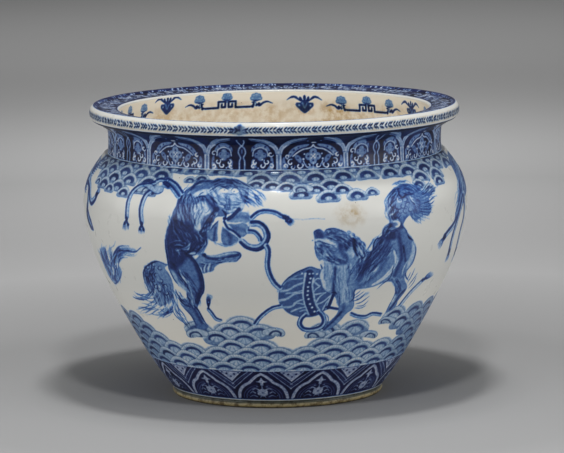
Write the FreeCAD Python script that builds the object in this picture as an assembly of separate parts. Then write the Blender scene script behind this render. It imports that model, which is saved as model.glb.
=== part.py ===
"""Porcelain jardiniere: a wide-mouthed bowl on a low foot, built from the sections in which such
a large vessel is thrown and then luted together with slip.

Frame: millimetres, +Z up, the turning axis on Z, the table at Z = 0. Every section is a ring or
disc turned about Z, so each is drawn as a half outline in the XZ plane and revolved.
"""

import FreeCAD, Part
import math
import os

from FreeCAD import Vector

# Overall sizes
HEIGHT = 320.0            # table to the crest of the lip
NECK_RADIUS = 183.5       # outside of the upright neck
RIM_OVERHANG = 19.5       # how far the lip stands out beyond the neck
SHOULDER_LEDGE = 4.5      # narrow step on which the neck stands
BELLY_SWELL = 23.0        # how far the belly stands out beyond the shoulder ledge
FOOT_RADIUS = 116.0       # outside of the foot ring
WALL_THICKNESS = 9.0      # thrown wall, measured square to its outside
NECK_THICKNESS = 11.0
SLIP_THICKNESS = 0.6      # fired luting slip between two sections

# Foot ring and base
FOOT_HEIGHT = 8.0
FOOT_WIDTH = 13.0         # from the outside of the ring to the recess under the base
FOOT_CHAMFER = 1.2        # turned edges beside the face that meets the table
FOOT_BEAD_SWELL = 0.7     # how far the bead round the ring stands out
FOOT_GROOVE_HEIGHT = 2.6  # groove between that bead and the wall
FOOT_GROOVE_DEPTH = 1.4
BASE_THICKNESS = 12.0
COVE_WIDTH = 8.0          # fillet of slip smoothed into the corner between base and wall
COVE_HEIGHT = 6.4
WALL_FOOT_STEP = 0.8      # the wall starts this far outside the foot ring
LEDGE_ROUND = 1.4         # softened outer edge of the shoulder's ledge

# Neck and rim
NECK_HEIGHT = 25.4
NECK_WAIST = 0.8          # the neck is this much slimmer at half its height
CORBEL_HEIGHT = 10.0      # sloping underside between the neck and the lip
CORBEL_HOLLOW = 1.0       # how far that underside is hollowed
LIP_HEIGHT = 16.0
LIP_TUCK = 3.5            # the lip's lower edge lies this far inside its widest line
LIP_CREST_INSET = 4.5     # the lip's crest lies this far inside its widest line
LIP_BEAD_WIDTH = 4.5      # from the crest inwards to the flat flange
LIP_BEAD_RISE = 2.2       # the crest stands this far above the flange beside it
FLANGE_FALL = 2.2         # the flange drops this much from the bead to the mouth
MOUTH_EDGE = 2.4          # rounding of the mouth's edge
MOUTH_INSET = 2.5         # the mouth is this much narrower than the inside of the neck

# Keyed seams: a low tongue on the lower section, and a matching groove above it
KEY_WIDTH = 3.2
KEY_HEIGHT = 2.0
KEY_TAPER = 0.7

# The thrown curve of the wall. Below the belly the shares run from the foot to the belly's
# widest line, above it from that line to the ledge; a radius share of 1 is the fuller end.
BELLY_HEIGHT_SHARE = 0.80
LOWER_HEIGHT_SHARES = (0.0, 0.125, 0.274, 0.426, 0.577, 0.726, 0.851)
LOWER_SWELL_SHARES = (0.0, 0.200, 0.398, 0.582, 0.748, 0.886, 0.965)
UPPER_HEIGHT_SHARES = (0.22, 0.43, 0.61, 0.77, 0.885, 1.0)
UPPER_SWELL_SHARES = (0.955, 0.83, 0.65, 0.41, 0.225, 0.0)
BELLY_SEAM_SHARE = 0.70   # height of the wall's own seam, as a share of the wall
LEDGE_BULGE_SHARE = 0.15  # how full the ledge's softened edge is, as a share of its size
COVE_HOLLOW_SHARE = 0.47  # how far the cove hollows from its chord towards the corner

# Heights that follow
BASE_BOTTOM = FOOT_HEIGHT + SLIP_THICKNESS
BASE_TOP = BASE_BOTTOM + BASE_THICKNESS
LIP_BOTTOM = HEIGHT - LIP_HEIGHT
RIM_BOTTOM = LIP_BOTTOM - CORBEL_HEIGHT
NECK_TOP = RIM_BOTTOM - SLIP_THICKNESS
NECK_BOTTOM = NECK_TOP - NECK_HEIGHT
SHOULDER_TOP = NECK_BOTTOM - SLIP_THICKNESS
WALL_TOP = SHOULDER_TOP - LEDGE_ROUND
WALL_HEIGHT = WALL_TOP - BASE_BOTTOM
BELLY_HEIGHT = BASE_BOTTOM + BELLY_HEIGHT_SHARE * WALL_HEIGHT
BELLY_SEAM = BASE_BOTTOM + BELLY_SEAM_SHARE * WALL_HEIGHT

# Radii that follow
WALL_FOOT_RADIUS = FOOT_RADIUS + WALL_FOOT_STEP
SHOULDER_RADIUS = NECK_RADIUS + SHOULDER_LEDGE
BELLY_RADIUS = SHOULDER_RADIUS + BELLY_SWELL
RIM_RADIUS = NECK_RADIUS + RIM_OVERHANG
NECK_BORE = NECK_RADIUS - NECK_THICKNESS
MOUTH_RADIUS = NECK_BORE - MOUTH_INSET

HALVINGS = 50             # steps that find where a curve crosses a height


def at(radius, height):
    return Vector(radius, 0, height)


def lines(points):
    """Straight edges through the points, in order."""
    return [Part.makeLine(a, b) for a, b in zip(points, points[1:])]


def arc(start, through, end):
    return Part.Arc(start, through, end).toShape()


def turned(edges):
    """The solid that a closed half outline sweeps about Z."""
    face = Part.Face(Part.Wire(edges))
    solid = face.revolve(Vector(0, 0, 0), Vector(0, 0, 1), 360)
    if solid.Volume < 0:
        solid.reverse()
    return solid


def crossing(curve, height):
    """The parameter at which a curve that climbs all the way reaches a height."""
    low, high = curve.FirstParameter, curve.LastParameter
    for _ in range(HALVINGS):
        middle = (low + high) / 2
        if curve.value(middle).z < height:
            low = middle
        else:
            high = middle
    return (low + high) / 2


def span(curve, bottom, top):
    """The edge of a climbing curve between two heights."""
    return curve.toShape(crossing(curve, bottom), crossing(curve, top))


def point_on(curve, height):
    return at(curve.value(crossing(curve, height)).x, height)


def wall_stations():
    """Points that the outside of the wall passes through, from the foot to the shoulder."""
    stations = []
    for height, swell in zip(LOWER_HEIGHT_SHARES, LOWER_SWELL_SHARES):
        radius = WALL_FOOT_RADIUS + swell * (BELLY_RADIUS - WALL_FOOT_RADIUS)
        stations.append(at(radius, BASE_BOTTOM + height * (BELLY_HEIGHT - BASE_BOTTOM)))
    stations.append(at(BELLY_RADIUS, BELLY_HEIGHT))
    for height, swell in zip(UPPER_HEIGHT_SHARES, UPPER_SWELL_SHARES):
        radius = SHOULDER_RADIUS + swell * (BELLY_RADIUS - SHOULDER_RADIUS)
        stations.append(at(radius, BELLY_HEIGHT + height * (WALL_TOP - BELLY_HEIGHT)))
    return stations


def smooth(points):
    curve = Part.BSplineCurve()
    curve.interpolate(points)
    return curve


def inside_of(outside, stations):
    """The inner curve: a wall's thickness inside the outer one, then in to the neck's bore."""
    points = []
    for station in stations:
        along = outside.tangent(outside.parameter(station))[0]
        inwards = Vector(-along.z, 0, along.x)
        points.append(station + inwards * WALL_THICKNESS)
    first_below_floor = points[0]
    climbing = [p for p in points[1:] if p.z < SHOULDER_TOP - KEY_HEIGHT - WALL_THICKNESS]
    return smooth([first_below_floor] + climbing + [at(NECK_BORE, SHOULDER_TOP)])


def keyed_seam(inner, outer):
    """Points of a level seam from its inner to its outer edge, over a tongue in the middle."""
    middle = (inner + outer) / 2
    root = Vector(KEY_WIDTH / 2, 0, 0)
    crown = root - Vector(KEY_TAPER, 0, 0)
    rise = Vector(0, 0, KEY_HEIGHT)
    return [inner, middle - root, middle - crown + rise, middle + crown + rise,
            middle + root, outer]


def raised(seam):
    return [p + Vector(0, 0, SLIP_THICKNESS) for p in seam]


def lute(seam, above):
    """The ring of slip between a seam and the face above it."""
    return turned(lines(seam + above[::-1] + seam[:1]))


def foot_ring():
    """The turned ring that the vessel stands on: a bead round its outside, a groove above."""
    recess = FOOT_RADIUS - FOOT_WIDTH
    bead_radius = FOOT_RADIUS - FOOT_BEAD_SWELL
    bead_bottom = at(bead_radius, FOOT_CHAMFER)
    bead_top = at(bead_radius, FOOT_HEIGHT - FOOT_GROOVE_HEIGHT)
    bead_middle = at(FOOT_RADIUS, (bead_bottom.z + bead_top.z) / 2)
    groove = at(FOOT_RADIUS - FOOT_GROOVE_DEPTH, FOOT_HEIGHT - FOOT_GROOVE_HEIGHT / 2)
    ring_top = at(FOOT_RADIUS, FOOT_HEIGHT)
    outline = [arc(bead_bottom, bead_middle, bead_top), arc(bead_top, groove, ring_top)]
    outline += lines([ring_top, at(recess, FOOT_HEIGHT), at(recess, FOOT_CHAMFER),
                      at(recess + FOOT_CHAMFER, 0), at(bead_radius - FOOT_CHAMFER, 0),
                      bead_bottom])
    return turned(outline)


def foot_lute():
    """Level slip between the foot ring and what stands on it."""
    recess = FOOT_RADIUS - FOOT_WIDTH
    seam = [at(recess, FOOT_HEIGHT), at(FOOT_RADIUS, FOOT_HEIGHT)]
    return lute(seam, raised(seam))


def base_seat(inside):
    """The straight conical seat of the base in the wall: its bottom and its top point."""
    along = inside.tangent(crossing(inside, BASE_TOP))[0]
    level_thickness = WALL_THICKNESS / math.cos(math.atan2(along.x, along.z))
    return at(WALL_FOOT_RADIUS - level_thickness, BASE_BOTTOM), point_on(inside, BASE_TOP)


def base(seat):
    """The base, a conical plug that drops into the wall's seat with room for slip round it."""
    bottom, top = (p - Vector(SLIP_THICKNESS, 0, 0) for p in seat)
    axis_bottom, axis_top = at(0, BASE_BOTTOM), at(0, BASE_TOP)
    return turned(lines([axis_top, axis_bottom, bottom, top, axis_top]))


def base_lute(inside, seat):
    """Slip round the base, smoothed into a cove where base and wall meet inside the bowl."""
    seat_bottom, corner = seat
    slip = Vector(SLIP_THICKNESS, 0, 0)
    cove_end = corner - Vector(COVE_WIDTH, 0, 0)
    cove_top = point_on(inside, BASE_TOP + COVE_HEIGHT)
    chord_middle = (cove_end + cove_top) / 2
    cove_middle = chord_middle + (corner - chord_middle) * COVE_HOLLOW_SHARE
    outline = [span(inside, BASE_TOP, cove_top.z), arc(cove_top, cove_middle, cove_end)]
    outline += lines([cove_end, corner - slip, seat_bottom - slip, seat_bottom, corner])
    return turned(Part.__sortEdges__(outline))


def lower_wall(outside, inside, seat, seam):
    outline = [span(outside, BASE_BOTTOM, BELLY_SEAM), span(inside, BASE_TOP, BELLY_SEAM)]
    outline += lines(seam) + lines([seat[1], seat[0], at(WALL_FOOT_RADIUS, BASE_BOTTOM)])
    return turned(Part.__sortEdges__(outline))


def upper_wall(outside, inside, bottom, shoulder):
    """The belly and shoulder, up to the narrow ledge round the neck."""
    wall_top = at(SHOULDER_RADIUS, WALL_TOP)
    ledge_edge = at(SHOULDER_RADIUS - LEDGE_ROUND, SHOULDER_TOP)
    bulge = Vector(LEDGE_ROUND, 0, LEDGE_ROUND) * LEDGE_BULGE_SHARE
    outline = [span(outside, bottom[-1].z, WALL_TOP), span(inside, bottom[0].z, SHOULDER_TOP)]
    outline += lines(bottom) + lines(shoulder + [ledge_edge])
    outline.append(arc(ledge_edge, (ledge_edge + wall_top) / 2 + bulge, wall_top))
    return turned(Part.__sortEdges__(outline))


def neck(bottom, top):
    waist = at(NECK_RADIUS - NECK_WAIST, (NECK_BOTTOM + NECK_TOP) / 2)
    outline = lines(bottom) + [arc(bottom[-1], waist, top[-1])]
    outline += lines(top[::-1]) + lines([top[0], bottom[0]])
    return turned(outline)


def rim(bottom):
    """The flange with its rolled lip, dished towards the mouth, on a sloping underside."""
    lip_bottom = at(RIM_RADIUS - LIP_TUCK, LIP_BOTTOM)
    corbel = (bottom[-1] + lip_bottom) / 2 + Vector(-CORBEL_HOLLOW, 0, CORBEL_HOLLOW) / 2
    widest = at(RIM_RADIUS, LIP_BOTTOM + LIP_HEIGHT / 2)
    crest = at(RIM_RADIUS - LIP_CREST_INSET, HEIGHT)
    flange_outer = at(crest.x - LIP_BEAD_WIDTH, HEIGHT - LIP_BEAD_RISE)
    bead = at(crest.x - LIP_BEAD_WIDTH / 2, HEIGHT - LIP_BEAD_RISE / 3)
    flange_inner = at(MOUTH_RADIUS + MOUTH_EDGE, flange_outer.z - FLANGE_FALL)
    mouth = at(MOUTH_RADIUS, flange_inner.z - MOUTH_EDGE)
    bevel = MOUTH_EDGE * (1 - math.sqrt(0.5))
    mouth_edge = at(MOUTH_RADIUS + bevel, flange_inner.z - bevel)
    outline = lines(bottom)
    outline.append(arc(bottom[-1], corbel, lip_bottom))
    outline.append(arc(lip_bottom, widest, crest))
    outline.append(arc(crest, bead, flange_outer))
    outline += lines([flange_outer, flange_inner])
    outline.append(arc(flange_inner, mouth_edge, mouth))
    outline += lines([mouth, bottom[0]])
    return turned(outline)


def build():
    """Every section and every ring of slip, by the name of its node."""
    stations = wall_stations()
    outside = smooth(stations)
    inside = inside_of(outside, stations)
    seat = base_seat(inside)
    belly = keyed_seam(point_on(inside, BELLY_SEAM), point_on(outside, BELLY_SEAM))
    belly_top = raised(belly)
    belly_top[0] = point_on(inside, belly_top[0].z)
    belly_top[-1] = point_on(outside, belly_top[-1].z)
    shoulder = keyed_seam(at(NECK_BORE, SHOULDER_TOP), at(NECK_RADIUS, SHOULDER_TOP))
    neck_top = keyed_seam(at(NECK_BORE, NECK_TOP), at(NECK_RADIUS, NECK_TOP))
    return {
        "foot_ring": foot_ring(),
        "foot_lute": foot_lute(),
        "base": base(seat),
        "base_lute": base_lute(inside, seat),
        "lower_wall": lower_wall(outside, inside, seat, belly),
        "belly_lute": lute(belly, belly_top),
        "upper_wall": upper_wall(outside, inside, belly_top, shoulder),
        "shoulder_lute": lute(shoulder, raised(shoulder)),
        "neck": neck(raised(shoulder), neck_top),
        "rim_lute": lute(neck_top, raised(neck_top)),
        "rim": rim(raised(neck_top)),
    }


os.makedirs("parts", exist_ok=True)
for name, solid in build().items():
    print(f"{name}: {solid.ShapeType}, valid {solid.isValid()}, {solid.Volume:.0f} mm3")
    solid.exportStep(f"parts/{name}.step")
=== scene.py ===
"""Blue and white jardiniere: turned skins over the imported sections, painted and glazed.

Metres, +Z up, the turning axis on Z. The painted front faces -Y. A place on the vessel is a turn
about the axis, in radians from that front and positive towards +X, and a height.
"""

import math

import bpy
import numpy as np
from mathutils import Matrix, Vector


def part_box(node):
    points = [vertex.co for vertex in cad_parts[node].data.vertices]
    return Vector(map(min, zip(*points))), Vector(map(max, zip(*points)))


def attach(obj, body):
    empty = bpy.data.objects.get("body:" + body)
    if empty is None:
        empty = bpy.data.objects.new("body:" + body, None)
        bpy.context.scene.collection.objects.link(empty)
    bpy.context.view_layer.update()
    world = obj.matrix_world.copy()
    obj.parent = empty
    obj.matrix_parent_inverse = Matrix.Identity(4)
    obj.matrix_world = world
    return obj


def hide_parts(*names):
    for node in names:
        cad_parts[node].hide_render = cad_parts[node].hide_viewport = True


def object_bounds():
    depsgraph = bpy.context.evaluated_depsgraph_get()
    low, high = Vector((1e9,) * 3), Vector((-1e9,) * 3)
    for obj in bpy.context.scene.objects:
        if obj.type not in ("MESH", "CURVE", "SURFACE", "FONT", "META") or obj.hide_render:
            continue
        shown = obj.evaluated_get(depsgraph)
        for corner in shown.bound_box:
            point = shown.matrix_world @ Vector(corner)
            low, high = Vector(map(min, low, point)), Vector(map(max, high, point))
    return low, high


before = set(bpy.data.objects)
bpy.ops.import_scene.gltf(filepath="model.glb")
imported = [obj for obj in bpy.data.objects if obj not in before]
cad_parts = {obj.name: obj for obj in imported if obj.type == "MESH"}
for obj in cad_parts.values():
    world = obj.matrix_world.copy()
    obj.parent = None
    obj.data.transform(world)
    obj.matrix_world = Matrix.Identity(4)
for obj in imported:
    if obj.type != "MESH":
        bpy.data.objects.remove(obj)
CAD_BOX = [list(corner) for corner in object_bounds()]

MM = 0.001

# The photograph's camera
PHOTO_WIDTH, PHOTO_HEIGHT = 564, 453
LENS_PIXELS = 3758.9
SENSOR_WIDTH = 36.0
CAMERA_DISTANCE = 4151.5 * MM
CAMERA_TILT = math.radians(8.57)
CAMERA_ROLL = math.radians(0.69)
AXIS_HEIGHT = 147.8 * MM
AXIS_PIXEL = (276.03, 256.98)

# Turned skins: quarters of the painted wall, whole rings elsewhere
QUARTERS = {"front": 0.0, "right": 90.0, "back": 180.0, "left": -90.0}
WALL_STEP = 0.88 * MM
WALL_COLUMNS = 1600
BAND_STEP = 0.76 * MM
BAND_COLUMNS = 1560
MOUTH_COLUMNS = 1180
FOOT_COLUMNS = 960
PLAIN_STEP = 2.6 * MM
PLAIN_COLUMNS = 360
RING_STRIPS = 8
MAP_FILL = 0.97
MAP_MARGIN = 0.015
ON_PLANE = 1e-6
MERGE = 1e-6
CORNER_TURN = math.radians(30)
LINE_PARTS = 12
BOWL_STRIDE = 6


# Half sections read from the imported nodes


def half_section(node):
    """The node's closed outline in the half plane y = 0, x > 0, as rows of (radius, height)."""
    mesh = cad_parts[node].data
    links = {}
    for polygon in mesh.polygons:
        corners = [mesh.vertices[i].co for i in polygon.vertices]
        cut = [(round(c.x, 7), round(c.z, 7)) for c in corners
               if abs(c.y) < ON_PLANE and c.x > -ON_PLANE]
        if len(cut) == 2 and cut[0] != cut[1]:
            links.setdefault(cut[0], set()).add(cut[1])
            links.setdefault(cut[1], set()).add(cut[0])
    walk = [min(links)]
    while True:
        onward = [point for point in links[walk[-1]] if point not in walk]
        if not onward:
            return np.array(walk)
        walk.append(min(onward))


def stretch(node, start, end, through):
    """The run of a half section between two corners that passes nearest to a third place."""
    ring = half_section(node)
    ring = np.roll(ring, -np.hypot(*(ring - start).T).argmin(), axis=0)
    last = np.hypot(*(ring - end).T).argmin()
    runs = [ring[:last + 1], np.vstack([ring[:1], ring[:last - 1:-1]])]
    return min(runs, key=lambda run: np.hypot(*(run - through).T).min())


def smooth_run(run, step):
    """A run in even steps: curved through gentle turns, straight and sharp at its corners."""
    heading = np.unwrap(np.arctan2(*np.diff(run, axis=0).T[::-1]))
    turns = np.abs(np.diff(heading))
    corners = [0] + [i + 1 for i, turn in enumerate(turns) if turn > CORNER_TURN] + [len(run) - 1]
    even = [run[:1]]
    for first, last in zip(corners, corners[1:]):
        part = run[first:last + 1]
        chords = np.hypot(*np.diff(part, axis=0).T)
        slopes = np.diff(part, axis=0) / chords[:, None]
        slopes = np.vstack([slopes[:1], (slopes[1:] + slopes[:-1]) / 2, slopes[-1:]])
        fine = [part[:1]]
        for a, b, leave, arrive, chord in zip(part, part[1:], slopes, slopes[1:], chords):
            t = np.linspace(0, 1, LINE_PARTS + 1)[1:, None]
            fine.append((2 * t**3 - 3 * t**2 + 1) * a + (t**3 - 2 * t**2 + t) * leave * chord
                        + (3 * t**2 - 2 * t**3) * b + (t**3 - t**2) * arrive * chord)
        fine = np.vstack(fine)
        along = length_along(fine)
        marks = np.linspace(0, along[-1], max(1, math.ceil(along[-1] / step)) + 1)[1:]
        even.append(np.stack([np.interp(marks, along, fine[:, i]) for i in (0, 1)], 1))
    return np.vstack(even)


def length_along(line):
    """The length run at each point of a line."""
    return np.concatenate([[0], np.cumsum(np.hypot(*np.diff(line, axis=0).T))])


# Geometry Nodes: a skin turned about the axis


def turning_tree():
    """Turns an outline into a skin, with its own unwrapped map laid in strips."""
    tree = bpy.data.node_groups.new("turned skin", "GeometryNodeTree")
    panel = tree.interface
    panel.new_socket("Outline", in_out="INPUT", socket_type="NodeSocketGeometry")
    for name, kind in (("Start", "Float"), ("Sweep", "Float"), ("Columns", "Int"), ("Rows", "Int"),
                       ("Strips", "Int"), ("Material", "Material")):
        panel.new_socket(name, in_out="INPUT", socket_type=f"NodeSocket{kind}")
    panel.new_socket("Skin", in_out="OUTPUT", socket_type="NodeSocketGeometry")
    nodes, link = tree.nodes, tree.links.new

    def add(kind, settings=None, **inputs):
        """Adds a node; an input is given by its name, or as i and its number."""
        node = nodes.new(kind)
        for key, value in (settings or {}).items():
            setattr(node, key, value)
        for key, value in inputs.items():
            numbered = key[0] == "i" and key[1:].isdigit()
            socket = node.inputs[int(key[1:]) if numbered else key]
            if isinstance(value, bpy.types.NodeSocket):
                link(value, socket)
            else:
                socket.default_value = value
        return node

    def maths(operation, *values):
        return add("ShaderNodeMath", {"operation": operation},
                   **{f"i{n}": value for n, value in enumerate(values)}).outputs[0]

    given = nodes.new("NodeGroupInput").outputs
    grid = add("GeometryNodeMeshGrid", **{
        "Vertices X": maths("ADD", given["Columns"], 1), "Vertices Y": maths("ADD", given["Rows"], 1)})
    spot = add("ShaderNodeSeparateXYZ", i0=add("GeometryNodeInputPosition").outputs[0]).outputs
    across, along = maths("ADD", spot[0], 0.5), maths("ADD", spot[1], 0.5)
    face_field = {"domain": "FACE", "data_type": "FLOAT"}
    middle = add("GeometryNodeFieldOnDomain", face_field, i0=across).outputs[0]
    strip = maths("FLOOR", maths("MULTIPLY", middle, given["Strips"]))
    map_x = maths("SUBTRACT", maths("MULTIPLY", across, given["Strips"]), strip)
    inset = maths("MULTIPLY_ADD", along, MAP_FILL, MAP_MARGIN)
    map_y = maths("DIVIDE", maths("ADD", inset, strip), given["Strips"])
    map_point = add("ShaderNodeCombineXYZ", i0=map_x, i1=map_y).outputs[0]
    mapped = add("GeometryNodeStoreNamedAttribute", {"domain": "CORNER", "data_type": "FLOAT2"},
                 Geometry=grid.outputs["Mesh"], Name="OFBake", Value=map_point)
    row = maths("ROUND", maths("MULTIPLY", along, given["Rows"]))
    drawn = add("GeometryNodeSampleIndex", {"data_type": "FLOAT_VECTOR"}, Geometry=given["Outline"],
                Value=add("GeometryNodeInputPosition").outputs[0], Index=row).outputs[0]
    drawn = add("ShaderNodeSeparateXYZ", i0=drawn).outputs
    turn = maths("MULTIPLY_ADD", across, given["Sweep"], given["Start"])
    place = add("ShaderNodeCombineXYZ", i0=maths("MULTIPLY", drawn[0], maths("SINE", turn)),
                i1=maths("MULTIPLY", maths("MULTIPLY", drawn[0], maths("COSINE", turn)), -1.0),
                i2=drawn[2]).outputs[0]
    set_place = add("GeometryNodeSetPosition", Geometry=mapped.outputs[0], Position=place)
    merged = add("GeometryNodeMergeByDistance", Geometry=set_place.outputs[0], Distance=MERGE)
    smooth = add("GeometryNodeSetShadeSmooth", Geometry=merged.outputs[0])
    real = add("GeometryNodeRealizeInstances", Geometry=smooth.outputs[0])
    dressed = add("GeometryNodeSetMaterial", Geometry=real.outputs[0], Material=given["Material"])
    link(dressed.outputs[0], nodes.new("NodeGroupOutput").inputs[0])
    return tree


TURNING = turning_tree()


def turned(name, line, material, columns, middle=0.0, sweep=360.0, strips=1):
    """A skin made by turning an outline, as a plain mesh object."""
    outline = bpy.data.meshes.new(name)
    outline.from_pydata([(r, 0, z) for r, z in line], [(i, i + 1) for i in range(len(line) - 1)], [])
    maker = bpy.data.objects.new(name, outline)
    bpy.context.scene.collection.objects.link(maker)
    modifier = maker.modifiers.new("turning", "NODES")
    modifier.node_group = TURNING
    values = {
        "Start": math.radians(middle - sweep / 2),
        "Sweep": math.radians(sweep),
        "Columns": round(columns * sweep / 360),
        "Rows": len(line) - 1,
        "Strips": strips,
        "Material": material,
    }
    for item in TURNING.interface.items_tree:
        if item.in_out == "INPUT" and item.name in values:
            modifier[item.identifier] = values[item.name]
    graph = bpy.context.evaluated_depsgraph_get()
    mesh = bpy.data.meshes.new_from_object(maker.evaluated_get(graph), depsgraph=graph)
    maker.modifiers.clear()
    maker.data = mesh
    mesh.name = name
    bpy.data.meshes.remove(outline)
    return maker


# Painting: sheets of pigment that are laid round the skins


class Patch:
    """A small window of a sheet, with each pixel's turn, length and radius."""

    def __init__(self, sheet, rows, columns):
        self.sheet = sheet
        self.index = np.ix_(rows, columns % sheet.columns)
        self.turn = (columns * sheet.column_turn - math.pi)[None, :]
        self.length = sheet.lengths[rows][:, None]
        self.radius = sheet.radii[rows][:, None]

    def across(self, turn):
        return (self.turn - turn) * self.radius

    def up(self, length):
        return self.length - length

    def runs(self, places, reaches):
        """For each run between places: the pixels it reaches, their share along it and gap to it."""
        first_turn, first_length = self.turn[0, 0], self.length[0, 0]
        pitch, column_turn = self.sheet.pitch, self.sheet.column_turn
        for i in range(len(places) - 1):
            (turn, length), (next_turn, next_length) = places[i], places[i + 1]
            reach = max(reaches[i], reaches[i + 1])
            low = max(0, int((min(length, next_length) - reach - first_length) / pitch))
            top = int((max(length, next_length) + reach - first_length) / pitch)
            high = min(len(self.length), top + 2)
            if high <= low:
                continue
            radius = self.radius[low:high]
            wide = reach / radius.min()
            left = max(0, int((min(turn, next_turn) - wide - first_turn) / column_turn))
            right = int((max(turn, next_turn) + wide - first_turn) / column_turn) + 2
            window = slice(low, high), slice(left, right)
            x, y = (self.turn[:, left:right] - turn) * radius, self.length[low:high] - length
            run_x, run_y = (next_turn - turn) * radius, next_length - length
            share = np.clip((x * run_x + y * run_y) / (run_x**2 + run_y**2 + 1e-9), 0, 1)
            yield i, window, share, np.hypot(x - share * run_x, y - share * run_y)

    def put(self, cover, tone, how="add", layer="cobalt"):
        """Lays pigment on: add darkens, cover replaces, lift takes away."""
        paint = getattr(self.sheet, layer)
        held = paint[self.index]
        if how == "add":
            held = 1 - (1 - held) * (1 - cover * tone)
        elif how == "cover":
            held = held * (1 - cover) + cover * tone
        else:
            held = held * (1 - cover * tone)
        paint[self.index] = held


# the third layer holds real stains, painted shade, and below zero a brighter cream that is partly painted
# light
LAYERS = ("cobalt", "hue", "stain")


class Sheet:
    """A skin's outline laid flat: rows run along it in millimetres, columns go round the axis."""

    def __init__(self, line, pitch):
        along = length_along(line) / MM
        self.pitch = pitch
        self.lengths = np.arange(0, along[-1] + pitch, pitch)
        self.radii = np.interp(self.lengths, along, line[:, 0]) / MM
        self.heights = np.interp(self.lengths, along, line[:, 1]) / MM
        self.columns = int(2 * math.pi * self.radii.max() / pitch)
        self.column_turn = 2 * math.pi / self.columns
        for layer in LAYERS:
            setattr(self, layer, np.zeros((len(self.lengths), self.columns), np.float32))

    def patch(self, places, reach):
        """The window that holds some places and what lies within reach of them."""
        turns, lengths = places[:, 0], places[:, 1]
        last = len(self.lengths) - 1
        low = min(last, max(0, int((lengths.min() - reach) / self.pitch)))
        high = min(last, max(low, int((lengths.max() + reach) / self.pitch) + 1)) + 1
        wide = reach / self.radii[low:high].min()
        left = int((turns.min() - wide + math.pi) / self.column_turn) - 1
        right = int((turns.max() + wide + math.pi) / self.column_turn) + 2
        return Patch(self, np.arange(low, high), np.arange(left, right))

    def give(self, skin):
        """Copies the paint to a skin's vertices, averaged over the skin's own spacing."""
        mesh = skin.data
        spots = np.empty(len(mesh.vertices) * 3, np.float32)
        mesh.vertices.foreach_get("co", spots)
        x, y, z = spots.reshape(-1, 3).T / MM
        turn = np.arctan2(x, -y)
        length = self.length_at(np.hypot(x, y), z)
        column = (turn + math.pi) / self.column_turn
        row = length / self.pitch
        for layer in LAYERS:
            values = sampled(box_blur(getattr(self, layer)), row, column)
            store = mesh.attributes.new(layer, "FLOAT", "POINT")
            store.data.foreach_set("value", values.astype(np.float32))

    def length_at(self, radius, height):
        """Length along the outline of places that lie on it."""
        rounded = np.round(np.stack([radius, height], 1), 2)
        spots, which = np.unique(rounded, axis=0, return_inverse=True)
        gaps = np.hypot(spots[:, :1] - self.radii, spots[:, 1:] - self.heights)
        nearest = gaps.argmin(1)
        before, after = np.maximum(nearest - 1, 0), np.minimum(nearest + 1, len(self.lengths) - 1)
        order = np.arange(len(spots))
        lean = (gaps[order, before] ** 2 - gaps[order, after] ** 2) / (2 * self.pitch)
        return (self.lengths[nearest] + np.clip(lean / 2, -self.pitch, self.pitch))[which.ravel()]


def box_blur(paint):
    """Each pixel averaged with its eight neighbours, round the back too."""
    rows = np.vstack([paint[:1], paint, paint[-1:]])
    rows = (rows[:-2] + rows[1:-1] + rows[2:]) / 3
    return (np.roll(rows, 1, 1) + rows + np.roll(rows, -1, 1)) / 3


def sampled(paint, row, column):
    """The paint between pixels, smooth both ways."""
    row = np.clip(row, 0, len(paint) - 1.001)
    r, c = row.astype(int), np.floor(column).astype(int)
    u, v = row - r, column - c
    left, right = c % paint.shape[1], (c + 1) % paint.shape[1]
    low = paint[r, left] * (1 - v) + paint[r, right] * v
    high = paint[r + 1, left] * (1 - v) + paint[r + 1, right] * v
    return low * (1 - u) + high * u


def flowing(points, parts=6):
    """A smooth run of places through some points."""
    points = np.asarray(points, float)
    padded = np.vstack([2 * points[0] - points[1], points, 2 * points[-1] - points[-2]])
    t = np.linspace(0, 1, parts, endpoint=False)[:, None]
    runs = []
    for before, a, b, after in zip(padded, padded[1:], padded[2:], padded[3:]):
        runs.append(a + (b - before) * t / 2 + (2 * before - 5 * a + 4 * b - after) * t**2 / 2
                    + (3 * a - before - 3 * b + after) * t**3 / 2)
    return np.vstack(runs + [points[-1:]])


def spread(values, count):
    """A few values along a run, made into one for each of its points."""
    values = np.atleast_1d(np.asarray(values, float))
    return np.interp(np.linspace(0, 1, count), np.linspace(0, 1, len(values)), values)


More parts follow.
